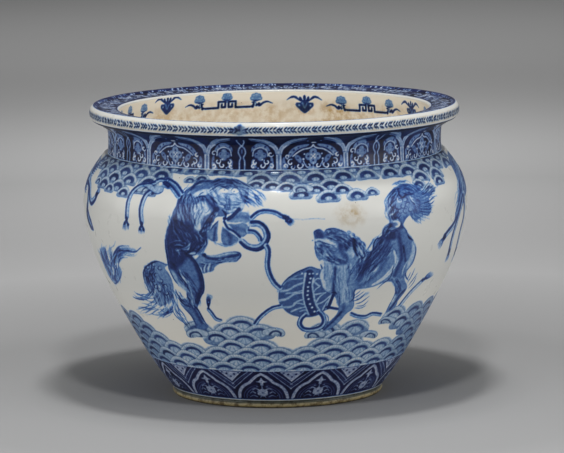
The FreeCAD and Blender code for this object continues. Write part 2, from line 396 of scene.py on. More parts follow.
class Pen:
    """Draws on a sheet at places that a mapping turns into (turn, length)."""

    def __init__(self, sheet, place):
        self.sheet = sheet
        self.place = place

    def line(self, points, width, tone=0.8, how="add", soft=0.45, layer="cobalt", smooth=True):
        """A brush line. Its width, in millimetres, and its tone may change from end to end."""
        run = flowing(points) if smooth and len(points) > 2 else np.asarray(points, float)
        self.stroke(self.place(run), width, tone, how, soft, layer)

    def stroke(self, places, width, tone, how="add", soft=0.45, layer="cobalt"):
        """A brush line through places on the sheet."""
        halves = spread(width, len(places)) / 2
        tones = spread(tone, len(places))
        patch = self.sheet.patch(places, halves.max() + soft)
        best = np.zeros((len(patch.length), patch.turn.shape[1]), np.float32)
        shade = np.full_like(best, tones[0])
        for i, window, share, gap in patch.runs(places, halves + soft):
            half = halves[i] + (halves[i + 1] - halves[i]) * share
            cover = np.clip((half - gap) / soft + 0.5, 0, 1)
            better = cover > best[window]
            best[window] = np.where(better, cover, best[window])
            along = tones[i] + (tones[i + 1] - tones[i]) * share
            shade[window] = np.where(better, along, shade[window])
        patch.put(best, shade, how, layer)

    def mask(self, points, soft=0.5, reach=4.0, smooth=True):
        """The patch, cover and depth of a filled outline."""
        ring = np.asarray(list(points) + [points[0]], float)
        places = self.place(flowing(ring) if smooth else ring)
        reach = max(reach, soft)
        patch = self.sheet.patch(places, soft + 1)
        inside = np.zeros((len(patch.length), patch.turn.shape[1]), bool)
        nearest = np.full(inside.shape, reach, np.float32)
        first = patch.length[0, 0]
        for (turn, length), (next_turn, next_length) in zip(places, places[1:]):
            low, high = sorted((length, next_length))
            rows = slice(max(0, math.ceil((low - first) / self.sheet.pitch)),
                         max(0, math.ceil((high - first) / self.sheet.pitch)))
            lean = (next_turn - turn) * (patch.length[rows] - length) / (next_length - length or 1)
            inside[rows] ^= patch.turn < turn + lean
        for _, window, _, gap in patch.runs(places, np.full(len(places), reach)):
            nearest[window] = np.minimum(nearest[window], gap)
        signed = np.where(inside, nearest, -nearest)
        return patch, np.clip(signed / soft + 0.5, 0, 1), signed

    def fill(self, points, tone, how="cover", soft=0.5, edge=0.0, edge_width=1.2, layer="cobalt",
             smooth=True):
        """A filled outline, a little darker along its edge where pigment gathers."""
        patch, cover, signed = self.mask(points, soft, max(soft, 3 * edge_width), smooth)
        tones = tone + edge * np.exp(-np.clip(signed, 0, None) / edge_width)
        patch.put(cover, tones, how, layer)


# Shader building


class Value:
    """A shader socket that Python arithmetic works on, one Math node for each operation."""

    def __init__(self, shader, socket):
        self.shader = shader
        self.socket = socket

    def math(self, operation, *others):
        return self.shader.math(operation, self, *others)

    def __add__(self, other):
        return self.math("ADD", other)

    def __sub__(self, other):
        return self.math("SUBTRACT", other)

    def __rsub__(self, other):
        return self.shader.math("SUBTRACT", other, self)

    def __mul__(self, other):
        return self.math("MULTIPLY", other)

    def __truediv__(self, other):
        return self.math("DIVIDE", other)

    def __neg__(self):
        return self.math("MULTIPLY", -1.0)

    def clamp(self, low=0.0, high=1.0):
        return self.math("MAXIMUM", low).math("MINIMUM", high)

    def between(self, low, high):
        """0 below low, 1 above high, a smooth step between."""
        return self.shader.node("ShaderNodeMapRange", {"interpolation_type": "SMOOTHSTEP"},
                                {"Value": self, "From Min": low, "From Max": high})


class Shader:
    """A material under construction."""

    def __init__(self, name):
        self.material = bpy.data.materials.new(name)
        self.material.use_nodes = True
        self.tree = self.material.node_tree
        self.tree.nodes.clear()

    def node(self, kind, settings=None, inputs=None, output=0):
        """Adds a node: its settings first, then the values or links of its sockets."""
        node = self.tree.nodes.new(kind)
        for key, value in (settings or {}).items():
            if key == "stops":
                self.set_stops(node.color_ramp, value)
            else:
                setattr(node, key, value)
        for key, value in (inputs or {}).items():
            self.give(node.inputs[key], value)
        return Value(self, node.outputs[output]) if node.outputs else None

    def give(self, socket, value):
        if isinstance(value, Value):
            self.tree.links.new(value.socket, socket)
        else:
            socket.default_value = value

    def set_stops(self, ramp, stops):
        while len(ramp.elements) < len(stops):
            ramp.elements.new(0.5)
        for element, (place, colour) in zip(ramp.elements, stops):
            element.position = place
            element.color = (*colour, 1)

    def math(self, operation, *values):
        return self.node("ShaderNodeMath", {"operation": operation}, dict(enumerate(values)))

    def mix(self, factor, a, b, how="MIX"):
        return self.node("ShaderNodeMix", {"data_type": "RGBA", "blend_type": how},
                         {0: factor, 6: a, 7: b}, output=2)

    def attribute(self, name):
        return self.node("ShaderNodeAttribute", {"attribute_name": name}, output=2)

    def place(self):
        return self.node("ShaderNodeTexCoord", output=3)

    def noise(self, scale, detail=3.0, roughness=0.5, at=None):
        return self.node("ShaderNodeTexNoise", None, {
            "Vector": at or self.place(), "Scale": scale, "Detail": detail, "Roughness": roughness})

    def finish(self, surface, settings):
        """Closes the material with one glazed surface."""
        inputs = {"Base Color": surface["colour"], "Roughness": surface["roughness"]}
        if "bump" in surface:
            height, strength, distance = surface["bump"]
            inputs["Normal"] = self.node("ShaderNodeBump", None, {
                "Height": height, "Strength": strength, "Distance": distance})
        inputs.update(settings)
        body = self.node("ShaderNodeBsdfPrincipled", None, inputs)
        self.node("ShaderNodeOutputMaterial", None, {"Surface": body})
        return self.material


def rgb(red, green, blue):
    """A colour given as it looks on a screen, 0 to 255, as linear light."""
    return tuple(((c / 255 + 0.055) / 1.055) ** 2.4 if c > 10 else c / 255 / 12.92
                 for c in (red, green, blue))


def even_stops(*colours):
    """Ramp stops at even steps from 0 to 1."""
    return tuple((i / (len(colours) - 1), rgb(*colour)) for i, colour in enumerate(colours))


# Glaze colours: from the bare white body to the thickest pigment
COBALT_STOPS = even_stops(
    (208, 208, 203), (160, 182, 206), (102, 143, 189),
    (56, 95, 159), (31, 50, 110), (10, 14, 46))
TEAL_STOPS = even_stops(
    (208, 208, 203), (168, 186, 206), (131, 154, 178),
    (86, 112, 146), (42, 60, 106), (14, 20, 48))
VIOLET_STOPS = even_stops(
    (212, 214, 216), (160, 172, 198), (100, 118, 154),
    (54, 68, 114), (24, 26, 66), (6, 6, 26))
# a brighter cream: the inside's own warm white, and painted light on the inside and low on the wall
CREAM_AND_PAINTED_LIGHT = (*rgb(241, 235, 221), 1)
OCHRE = (*rgb(204, 176, 128), 1)
SPECK = (*rgb(70, 62, 60), 1)
SPECK_PITCH = 34.0
SPECK_SIZE = 0.02
STIR_PITCH = 300
STIR_DEPTH = 0.9
MOTTLE_PITCH = 110
GLAZE_GLOSS = {"Specular IOR Level": 0.18, "Coat Weight": 0.12, "Coat Roughness": 0.07}

# Foot colours: from the face on the table up, over FOOT_SEEN millimetres; the darkest, at the table, are
# painted shadow where the foot meets it
FOOT_SEEN = 10
FOOT_WANDER = 1.6
GRIME = (*rgb(126, 108, 72), 1)
FOOT_STOPS = (
    (0.00, rgb(40, 36, 28)),
    (0.10, rgb(88, 78, 52)),
    (0.20, rgb(144, 130, 88)),
    (0.40, rgb(156, 146, 112)),
    (0.50, rgb(100, 98, 80)),
    (0.60, rgb(58, 64, 56)),
    (0.80, rgb(66, 72, 64)),
    (0.87, rgb(196, 202, 190)),
)


def painted_glaze():
    """Clear glaze over cobalt painting on a white body, from each skin's own paint."""
    s = Shader("painted glaze")
    painted, hue, stain = s.attribute("cobalt"), s.attribute("hue"), s.attribute("stain")
    stir = s.noise(STIR_PITCH, 5.0, 0.66) - 0.5
    stir = stir * STIR_DEPTH * (painted * 5).clamp() * (1.2 - painted)
    cobalt = (painted + stir).clamp()
    colour, teal, violet = (s.node("ShaderNodeValToRGB", {"stops": stops}, {"Fac": cobalt})
                            for stops in (COBALT_STOPS, TEAL_STOPS, VIOLET_STOPS))
    colour = s.mix((-hue).clamp(), colour, teal)
    colour = s.mix(hue.clamp(), colour, violet)
    mottle = s.noise(MOTTLE_PITCH, 5.0, 0.62).between(0.36, 0.64) * 1.1 + 0.3
    # Below zero the third layer mixes the unpainted white to a brighter cream, partly painted light; above
    # zero, and below -1, it multiplies in ochre for stains and painted shade
    colour = s.mix((-stain).clamp() * (1 - painted * 4).clamp(), colour, CREAM_AND_PAINTED_LIGHT)
    ochre = stain.clamp() + (-1 - stain).clamp()
    colour = s.mix((ochre * mottle).clamp(), colour, OCHRE, "MULTIPLY")
    speck = s.node("ShaderNodeTexVoronoi", None, {0: s.place(), "Scale": SPECK_PITCH})
    colour = s.mix(((SPECK_SIZE - speck) * 300).clamp(), colour, SPECK)
    rough = s.noise(60).between(0.2, 0.8) * 0.1 + painted * 0.16 + 0.26
    return s.finish({"colour": colour, "roughness": rough}, GLAZE_GLOSS)


def bare_foot():
    """The foot: thin greenish glaze above, ivory bead, and buff unglazed clay where it stood."""
    s = Shader("bare foot")
    height = s.node("ShaderNodeSeparateXYZ", None, {0: s.place()}, output=2) / MM
    wander = height + (s.noise(70, 4.0) - 0.5) * FOOT_WANDER
    colour = s.node("ShaderNodeValToRGB", {"stops": FOOT_STOPS}, {"Fac": wander / FOOT_SEEN})
    grime = s.noise(160, 5.0, 0.65).between(0.42, 0.66) * 0.9
    colour = s.mix(grime, colour, GRIME, "MULTIPLY")
    rough = 0.75 - wander.between(3.5, 5.5) * 0.4
    bump = s.noise(900, 3.0)
    return s.finish({"colour": colour, "roughness": rough, "bump": (bump, 0.35, 0.0003)}, {})


GLAZE = painted_glaze()
BISCUIT = bare_foot()


# Outlines of the visible skins, from under the foot up the outside and down into the bowl


def widest_at(node, height):
    """The node's outer radius at one of its corners' heights."""
    ring = half_section(node)
    return ring[np.abs(ring[:, 1] - height) < ON_PLANE][:, 0].max()


foot_top, base_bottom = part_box("foot_lute")[0].z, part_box("foot_lute")[1].z
foot_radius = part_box("foot_lute")[1].x
recess_radius = half_section("foot_lute")[:, 0].min()
base_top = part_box("base")[1].z
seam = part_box("belly_lute")[0].z
seam_radius = widest_at("lower_wall", seam)
neck_radius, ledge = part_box("shoulder_lute")[1].x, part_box("shoulder_lute")[0].z
neck_bore = half_section("shoulder_lute")[:, 0].min()
rim_bottom, rim_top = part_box("rim")[0].z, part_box("rim")[1].z
rim_radius, mouth_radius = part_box("rim")[1].x, half_section("rim")[:, 0].min()
FLANGE_START = 9.0 * MM
FLANGE_DROP = 2.2 * MM
PAINTED_INSIDE = 62 * MM

foot_run = stretch("foot_ring", (recess_radius, foot_top), (foot_radius, foot_top), (foot_radius, 0))
wall_foot = (widest_at("lower_wall", base_bottom), base_bottom)
foot_line = np.vstack([(recess_radius, base_bottom), foot_run, (foot_radius, base_bottom), wall_foot])
foot_line = smooth_run(foot_line, BAND_STEP)
under_line = np.array([(0, base_bottom), (recess_radius, base_bottom)])
wall_low = stretch("lower_wall", wall_foot, (seam_radius, seam), (seam_radius, seam / 2))
wall_low = smooth_run(wall_low, WALL_STEP)
wall_high = stretch("upper_wall", (seam_radius, seam), (neck_radius, ledge),
                    (neck_radius + rim_radius, ledge))
wall_high = smooth_run(np.vstack([wall_low[-1:], wall_high[1:]]), WALL_STEP)
widest = min(abs(corner[axis]) for corner in CAD_BOX for axis in (0, 1))
wall_low[:, 0] = np.minimum(wall_low[:, 0], widest)
wall_high[:, 0] = np.minimum(wall_high[:, 0], widest)
neck_line = stretch("neck", (neck_radius, ledge), (neck_radius, rim_bottom),
                    (rim_radius, (ledge + rim_bottom) / 2))
neck_line = np.vstack([(neck_radius, ledge), neck_line[1:-1], (neck_radius, rim_bottom)])
neck_line = smooth_run(neck_line, BAND_STEP)
flange_edge = (rim_radius - FLANGE_START, rim_top - FLANGE_DROP)
lip_line = stretch("rim", (neck_radius, rim_bottom), flange_edge, (rim_radius, rim_top))
lip_line = smooth_run(lip_line, BAND_STEP)
rim_section = half_section("rim")
mouth = tuple(rim_section[rim_section[:, 0].argmin()])
flange_line = smooth_run(stretch("rim", flange_edge, mouth, (mouth_radius, rim_top)), BAND_STEP)
inner_seam = (half_section("belly_lute")[:, 0].min(), seam)
slip = half_section("base_lute")
cove_top, cove_end = slip[slip[:, 1].argmax()], slip[np.abs(slip[:, 1] - base_top) < ON_PLANE].min(axis=0)
inner_neck = np.vstack([
    stretch("rim", mouth, (neck_bore, rim_bottom),
            ((mouth_radius + neck_bore) / 2, (mouth[1] + rim_bottom) / 2)),
    (neck_bore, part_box("neck")[0].z),
    stretch("upper_wall", (neck_bore, ledge), inner_seam, (inner_seam[0], (seam + ledge) / 2)),
])
inner_neck = smooth_run(inner_neck, BAND_STEP)
painted = length_along(inner_neck) < PAINTED_INSIDE
mouth_line = inner_neck[painted]
bowl_line = smooth_run(np.vstack([
    inner_neck[painted.sum() - 1::BOWL_STRIDE],
    stretch("lower_wall", inner_seam, cove_top,
            ((inner_seam[0] + cove_top[0]) / 2, (seam + cove_top[1]) / 2))[1:],
    stretch("base_lute", cove_top, cove_end, (cove_end + cove_top) / 2)[1:],
    (0, base_top),
]), PLAIN_STEP)


# Sheets of pigment, each with its pitch in millimetres

WALL = Sheet(np.vstack([wall_low, wall_high]), 0.3)
NECK = Sheet(neck_line, 0.25)
LIP = Sheet(lip_line, 0.25)
FLANGE = Sheet(flange_line, 0.25)
MOUTH = Sheet(mouth_line, 0.3)
BOWL = Sheet(bowl_line, 2.0)


# Clouds and waves: rows of fish-scales

AT_THE_SIDE = math.radians(80)
SHOULDER_RADIUS = 165
SIGHT_TRIES = 30
EYE_DROP = 0.74
OUTER_EYE = (0.64, 0.46)
INNER_EYE = (0.46, 0.24)
RIBS = 9
RIB_TONE = 0.3
FRILL_DEPTH = 0.5
FRILL_PITCH = 3.1
DEEPENING = 0.34
OUTLINE_TONE = 0.94
OUTLINE_WIDTH = 0.55
BACKING_WIDE = 1.06
BACKING_TALL = 0.56


def on_wall(pixels):
    """(turn, length) on the wall of points seen in the photograph."""
    pixels = np.asarray(pixels, float)
    across, down = pixels[:, 0] - AXIS_PIXEL[0], pixels[:, 1] - AXIS_PIXEL[1]
    cos, sin = math.cos(CAMERA_ROLL), math.sin(CAMERA_ROLL)
    right = (across * cos - down * sin) / LENS_PIXELS
    up = -(across * sin + down * cos) / LENS_PIXELS
    tilt_cos, tilt_sin = math.cos(CAMERA_TILT), math.sin(CAMERA_TILT)
    eye_y = -CAMERA_DISTANCE * tilt_cos / MM
    eye_z = (AXIS_HEIGHT + CAMERA_DISTANCE * tilt_sin) / MM
    ray_y, ray_z = tilt_cos + up * tilt_sin, up * tilt_cos - tilt_sin
    radius = np.full(len(pixels), WALL.radii.max())
    for _ in range(SIGHT_TRIES):
        a, b, c = right**2 + ray_y**2, eye_y * ray_y, eye_y**2 - radius**2
        far = (-b - np.sqrt(np.clip(b * b - a * c, 0, None))) / a
        height = eye_z + far * ray_z
        radius = (radius + np.interp(height, WALL.heights, WALL.radii)) / 2
    turn = np.arctan2(far * right, -(eye_y + far * ray_y))
    return np.stack([turn, np.interp(height, WALL.heights, WALL.lengths)], 1)


def all_round(rings, reach=1.0):
    """Rings of the front painting and its repeat behind, drawn out to meet at the sides."""
    painted = []
    for ring in rings:
        places = on_wall(ring)
        places[:, 0] *= np.where(np.abs(places[:, 0]) > AT_THE_SIDE, reach, 1)
        painted += [places + (turn, 0) for turn in (-math.pi, 0, math.pi)]
    return painted


def inside(ring, turn, length):
    """Whether a place lies within a ring of places."""
    within = False
    for (a, b), (c, d) in zip(ring, np.roll(ring, -1, 0)):
        if (b > length) != (d > length) and turn < a + (c - a) * (length - b) / (d - b):
            within = not within
    return within


def scale(turn, length, half_width, depth, arch, pale, pupil, chance):
    """One fish-scale of a wave or cloud: a pale frilled arch, a dark half ring and a ribbed fan."""
    patch = WALL.patch(np.array([[turn, length], [turn, length - depth]]), half_width + 1)
    drop = -patch.up(length)
    x = patch.across(turn) - chance.uniform(-0.12, 0.12) * drop
    share = x / half_width
    bend = arch * half_width * share**2
    frill = FRILL_DEPTH * np.abs(np.sin(x * math.pi / FRILL_PITCH + chance.uniform(0, 3)))
    below = drop - bend - frill
    under = bend + depth * np.sqrt(np.clip(1 - share**2, 0, 1)) - drop
    within = np.where(np.abs(share) < 1, np.minimum(below, under), -1)
    cover = np.clip(within / 0.4 + 0.5, 0, 1)
    eye = drop - EYE_DROP * half_width
    outer = np.hypot(x / OUTER_EYE[0], eye / OUTER_EYE[1]) / half_width
    inner = np.hypot(x / INNER_EYE[0], eye / INNER_EYE[1]) / half_width / pupil
    ring = np.clip((1 - outer) * 16, 0, 1) * np.clip((inner - 1) * 12, 0, 1)
    ring = ring * np.clip(1 - (eye - 0.06 * half_width) / 1.4, 0, 1)
    deep = np.clip((below - 1.2) / (0.3 * half_width), 0, 1)
    tone = pale + DEEPENING * deep**1.5 + 0.05 * np.sin(x * 2.2 + chance.uniform(0, 6)) * (below < 4)
    ribs = np.sin(np.arctan2(x, drop - 0.4 * half_width) * RIBS)
    ribs = RIB_TONE * np.clip(ribs - 0.2, 0, 1)
    tone = tone + (pale + 0.06 + ribs - tone) * np.clip((1 - inner) * 14, 0, 1)
    tone = tone + (chance.uniform(0.8, 0.95) - 0.12 * np.abs(x / half_width) - tone) * ring
    outline = np.exp(-(within / OUTLINE_WIDTH) ** 2)
    tone = tone + (OUTLINE_TONE - tone) * np.clip(outline, 0, 1)
    patch.put(cover, tone, "cover")
    patch.put(cover, -1 + 0.35 * deep + 0.1 * ring, "cover", "hue")


def backing(turn, length, half_width, depth, tone):
    """The shaded wash behind a scale, a little larger than it."""
    middle = length - 0.5 * depth
    patch = WALL.patch(np.array([[turn, middle]]), max(half_width, depth) + 1)
    far = np.hypot(patch.across(turn) / (BACKING_WIDE * half_width),
                   patch.up(middle) / (BACKING_TALL * depth))
    cover = np.clip((1 - far) * 6, 0, 1)
    patch.put(cover, tone, "cover")
    patch.put(cover, -0.8, "cover", "hue")


def banks(rings, columns, top, pitch, rows, half_width, depth, arch, pale, pupil, seed):
    """Rows of scales, the lower ones in front, wherever a ring of the painting holds them.

    Columns go round the vessel and rows down from the top, pitch apart; the rest is in millimetres
    and tones for one scale.
    """
    chance = np.random.default_rng(seed)
    spots = []
    for row in range(rows):
        length = top - row * pitch
        for column in range(columns):
            turn = (column + row % 2 / 2) * 2 * math.pi / columns - math.pi
            turn += chance.uniform(-0.05, 0.05) * 2 * math.pi / columns
            aside = 0.45 * half_width / SHOULDER_RADIUS
            heart = length - 0.35 * depth
            if any(inside(ring, turn - aside, heart) and inside(ring, turn + aside, heart)
                   for ring in rings):
                spots.append((turn, length + chance.uniform(-0.6, 0.6)))
    for turn, length in spots:
        backing(turn, length, half_width, depth, pale + 0.26)
    for turn, length in spots:
        scale(turn, length, half_width * chance.uniform(0.95, 1.06), depth, arch,
              pale + chance.uniform(-0.04, 0.04), pupil, chance)


# Places of the clouds and waves, in the photograph's pixels

CLOUDS = [
    [(101, 150), (104, 165), (99, 172), (102, 179), (112, 182), (126, 186), (142, 184), (156, 180),
     (166, 174), (190, 172), (250, 174), (262, 180), (290, 181), (304, 184), (340, 187), (354, 183),
     (366, 178), (384, 173), (408, 175), (420, 180), (434, 178), (443, 168), (448, 158), (444, 148),
     (440, 148), (280, 168), (110, 150)],
]
LOW_CLOUDS = (
    (101, 176, 9), (112, 182, 11), (126, 186, 12), (141, 184, 11), (151, 187, 10), (191, 176, 8),
    (203, 174, 9), (257, 179, 11), (272, 180, 12), (287, 181, 12), (301, 187, 13), (315, 183, 12),
    (328, 189, 14), (341, 183, 12), (355, 188, 13), (371, 187, 9), (416, 178, 12), (428, 183, 10),
    (436, 174, 12),
)
CURLED_ENDS = (
    (191, 334, -1, 1.1), (280, 333, 1, 1.1), (309, 335, -1, 1.0), (374, 335, 1, 0.9),
    (382, 321, -1, 0.9), (297, 189, -1, 1.0), (151, 189, 1, 0.9),
)
WAVES = [
    [(88, 287), (108, 302), (120, 305), (134, 310), (150, 318), (152, 330), (166, 336), (186, 346),
     (206, 350), (196, 338), (184, 334), (190, 326), (206, 326), (222, 321), (246, 319), (262, 324),
     (284, 328), (286, 336), (274, 340), (300, 345), (306, 338), (300, 330), (318, 326), (340, 322),
     (364, 322), (370, 330), (364, 338), (384, 343), (398, 334), (397, 326), (384, 322), (378, 316),
     (392, 312), (410, 303), (432, 296), (452, 284), (440, 380), (280, 400), (110, 380)],
]


# Brushes

PIXEL = 1.1
INK_TAPER = np.array([0.35, 1, 0.9, 0.25])
LIFT_TAPER = np.array([0.4, 1, 1, 0.4])
PALE_TAPER = np.array([1, 0.8, 0.5])
HAIR_TAPER = np.array([0.5, 1, 0.9, 0.3])
HAIR_STEPS = (-0.5, -0.15, 0.2, 0.5)
DARK_HAIRS = 0.6
FRINGE = (-0.8, -0.4, 0, 0.4, 0.8)


def pairs(numbers):
    """Numbers in a row, as points."""
    return np.reshape(numbers, (-1, 2)).astype(float)


class Brush:
    """The painter's strokes, given in units that a pen's mapping places on a sheet."""

    def __init__(self, pen, seed, unit=PIXEL):
        self.pen = pen
        self.unit = unit
        self.chance = np.random.default_rng(seed)

    def wash(self, tone, *numbers):
        """A filled outline, a little darker along its edge."""
        self.pen.fill(pairs(numbers), tone, soft=0.8, edge=0.12, edge_width=1.4)
        self.pen.fill(pairs(numbers), -0.35, soft=0.8, layer="hue")

    def tint(self, tone, soft, *numbers):
        """A filled outline whose edge melts into what is there."""
        self.pen.fill(pairs(numbers), tone, soft=soft * self.unit)

    def shade(self, width, tone, *numbers):
        """A soft broad stroke that darkens."""
        self.pen.line(pairs(numbers), width * self.unit, tone, soft=width * 0.7 * self.unit)

    def lift(self, width, tone, *numbers):
        """A soft stroke that wipes pigment away."""
        self.pen.line(pairs(numbers), LIFT_TAPER * width * self.unit, tone, "lift", soft=0.8)

    def ink(self, width, tone, *numbers):
        """A fine dark line that swells and tapers."""
        self.pen.line(pairs(numbers), INK_TAPER * width * self.unit, tone)

    def band(self, width, tone, *numbers):
        """A stroke of even width that covers."""
        self.pen.line(pairs(numbers), width * self.unit, tone, "cover", soft=0.8)

    def pale(self, width, tone, *numbers):
        """A reserved stroke that narrows from its start."""
        self.pen.line(pairs(numbers), PALE_TAPER * width * self.unit, tone, "cover")

    def dab(self, size, tone, x, y):
        """A round touch of the brush that covers."""
        self.pen.line([(x, y), (x + 0.1, y)], size * self.unit, tone, "cover", soft=0.7)

    def beads(self, size, tone, *numbers):
        """Dabs of one size."""
        for x, y in pairs(numbers):
            self.dab(size, tone, x, y)

    def curls(self, size, tone, *numbers):
        """Small curls: a dark hook round a pale one."""
        for x, y in pairs(numbers):
            start = self.chance.uniform(0, 2 * math.pi)
            turn = start + np.linspace(0, 4.4, 7)
            hook = np.stack([x + np.cos(turn) * size / 2, y + np.sin(turn) * size / 2], 1)
            self.pen.line(hook, np.array([0.6, 1.2, 0.5]) * self.unit, tone)
            inner = np.stack([x + np.cos(turn) * size / 4.5, y + np.sin(turn) * size / 4.5], 1)
            self.pen.line(inner, np.array([0.4, 0.8, 0.3]) * self.unit, 0.35, "lift")

    def fur(self, breadth, length, count, tone, *numbers):
        """Hairs that follow a guide, dark ones and reserved ones mixed."""
        guide = flowing(pairs(numbers))
        along = length_along(guide)
        marks = self.chance.uniform(0, along[-1], count)
        aside = self.chance.uniform(-0.5, 0.5, count) * breadth
        curve = self.chance.uniform(-0.18, 0.18, count) * length
        hairs = []
        for step in HAIR_STEPS:
            spots = np.clip(marks + step * length, 0.01, along[-1] - 0.01)
            point = np.stack([np.interp(spots, along, guide[:, i]) for i in (0, 1)], 1)
            onward = np.stack([np.interp(spots + 0.01, along, guide[:, i]) for i in (0, 1)], 1)
            ahead = onward - point
            ahead /= np.hypot(*ahead.T)[:, None]
            overrun = (marks + step * length - spots)[:, None]
            normal = np.stack([-ahead[:, 1], ahead[:, 0]], 1)
            sway = aside + curve * (1 - 4 * step * step)
            hairs.append(point + ahead * overrun + normal * sway[:, None])
        places = self.pen.place(np.stack(hairs, 1).reshape(-1, 2))
        for hair in places.reshape(count, len(HAIR_STEPS), 2):
            dark = self.chance.random() < DARK_HAIRS
            width = self.chance.uniform(0.7, 1.3) * self.unit
            strength = tone * self.chance.uniform(0.6, 1.0) * (1 if dark else 0.75)
            self.pen.stroke(hair, HAIR_TAPER * width, strength, "add" if dark else "lift", 0.5)

    def ribbon(self, width, *numbers):
        """A silk ribbon seen folded: a dark band, a pale one beside it and a fine line outside."""
        run = flowing(pairs(numbers), 5)
        ahead = np.gradient(run, axis=0)
        aside = np.stack([ahead[:, 1], -ahead[:, 0]], 1) / np.hypot(*ahead.T)[:, None] * width
        broad = width * self.unit
        self.pen.line(run, broad, 0.26, "cover", 0.6, smooth=False)
        self.pen.line(run, broad, 0.0, "cover", 0.6, "hue", smooth=False)
        self.pen.line(run + aside * 0.2, width * 0.52 * self.unit, 0.86, "cover", 0.7, smooth=False)
        self.pen.line(run - aside * 0.44, 0.9 * self.unit, 0.6, smooth=False)

    def tassel(self, width, *numbers):
        """A knot and a fringe that spreads from it."""
        (x, y), end = pairs(numbers)
        run = end - (x, y)
        side = np.array([run[1], -run[0]]) / np.hypot(*run)
        self.dab(width * 1.3, 0.9, x, y)
        for share in FRINGE:
            middle = (x, y) + run * 0.5 + side * width * share * 0.9
            tip = (x, y) + run * (1 - 0.1 * abs(share)) + side * width * share
            self.ink(1.3, 0.85, x, y, *middle, *tip)
        self.dab(width * 0.5, 0.3, *((x, y) + run * 0.5))


def curled_end(b, x, y, way, size):
    """A bank's last scale, rolled in on itself: a pale end with a dark hook under its top."""
    def at(*numbers):
        return (pairs(numbers) * (way * size, size) + (x, y)).ravel()

    body = pairs(at(-13, -0.5, -7, -1.4, -1, -0.6, 1.2, 0.6))
    for extra, tone in ((1.0, 0.84), (0.0, 0.26)):
        width = (np.array([6, 8.2, 8, 6]) * size + extra) * PIXEL
        b.pen.line(body, width, tone, "cover", soft=0.6)
        b.pen.line(body[[0, -1]], 8 * size * PIXEL, -0.9, "cover", soft=0.8, layer="hue")
    b.band(2.0 * size, 0.84, *at(-9.5, 1.4, -6.6, -1.2, -2.4, -1.6, 0.6, 0.2, 0.6, 2.2))
    b.band(1.3 * size, 0.5, *at(-6.4, 2.4, -4.2, 1.0, -2.2, 1.4))
    b.ink(0.9, 0.6, *at(-2.4, 3.4, -1.2, 1.8, -1.8, 0.6))


# Figures on the wall, in the photograph's pixels


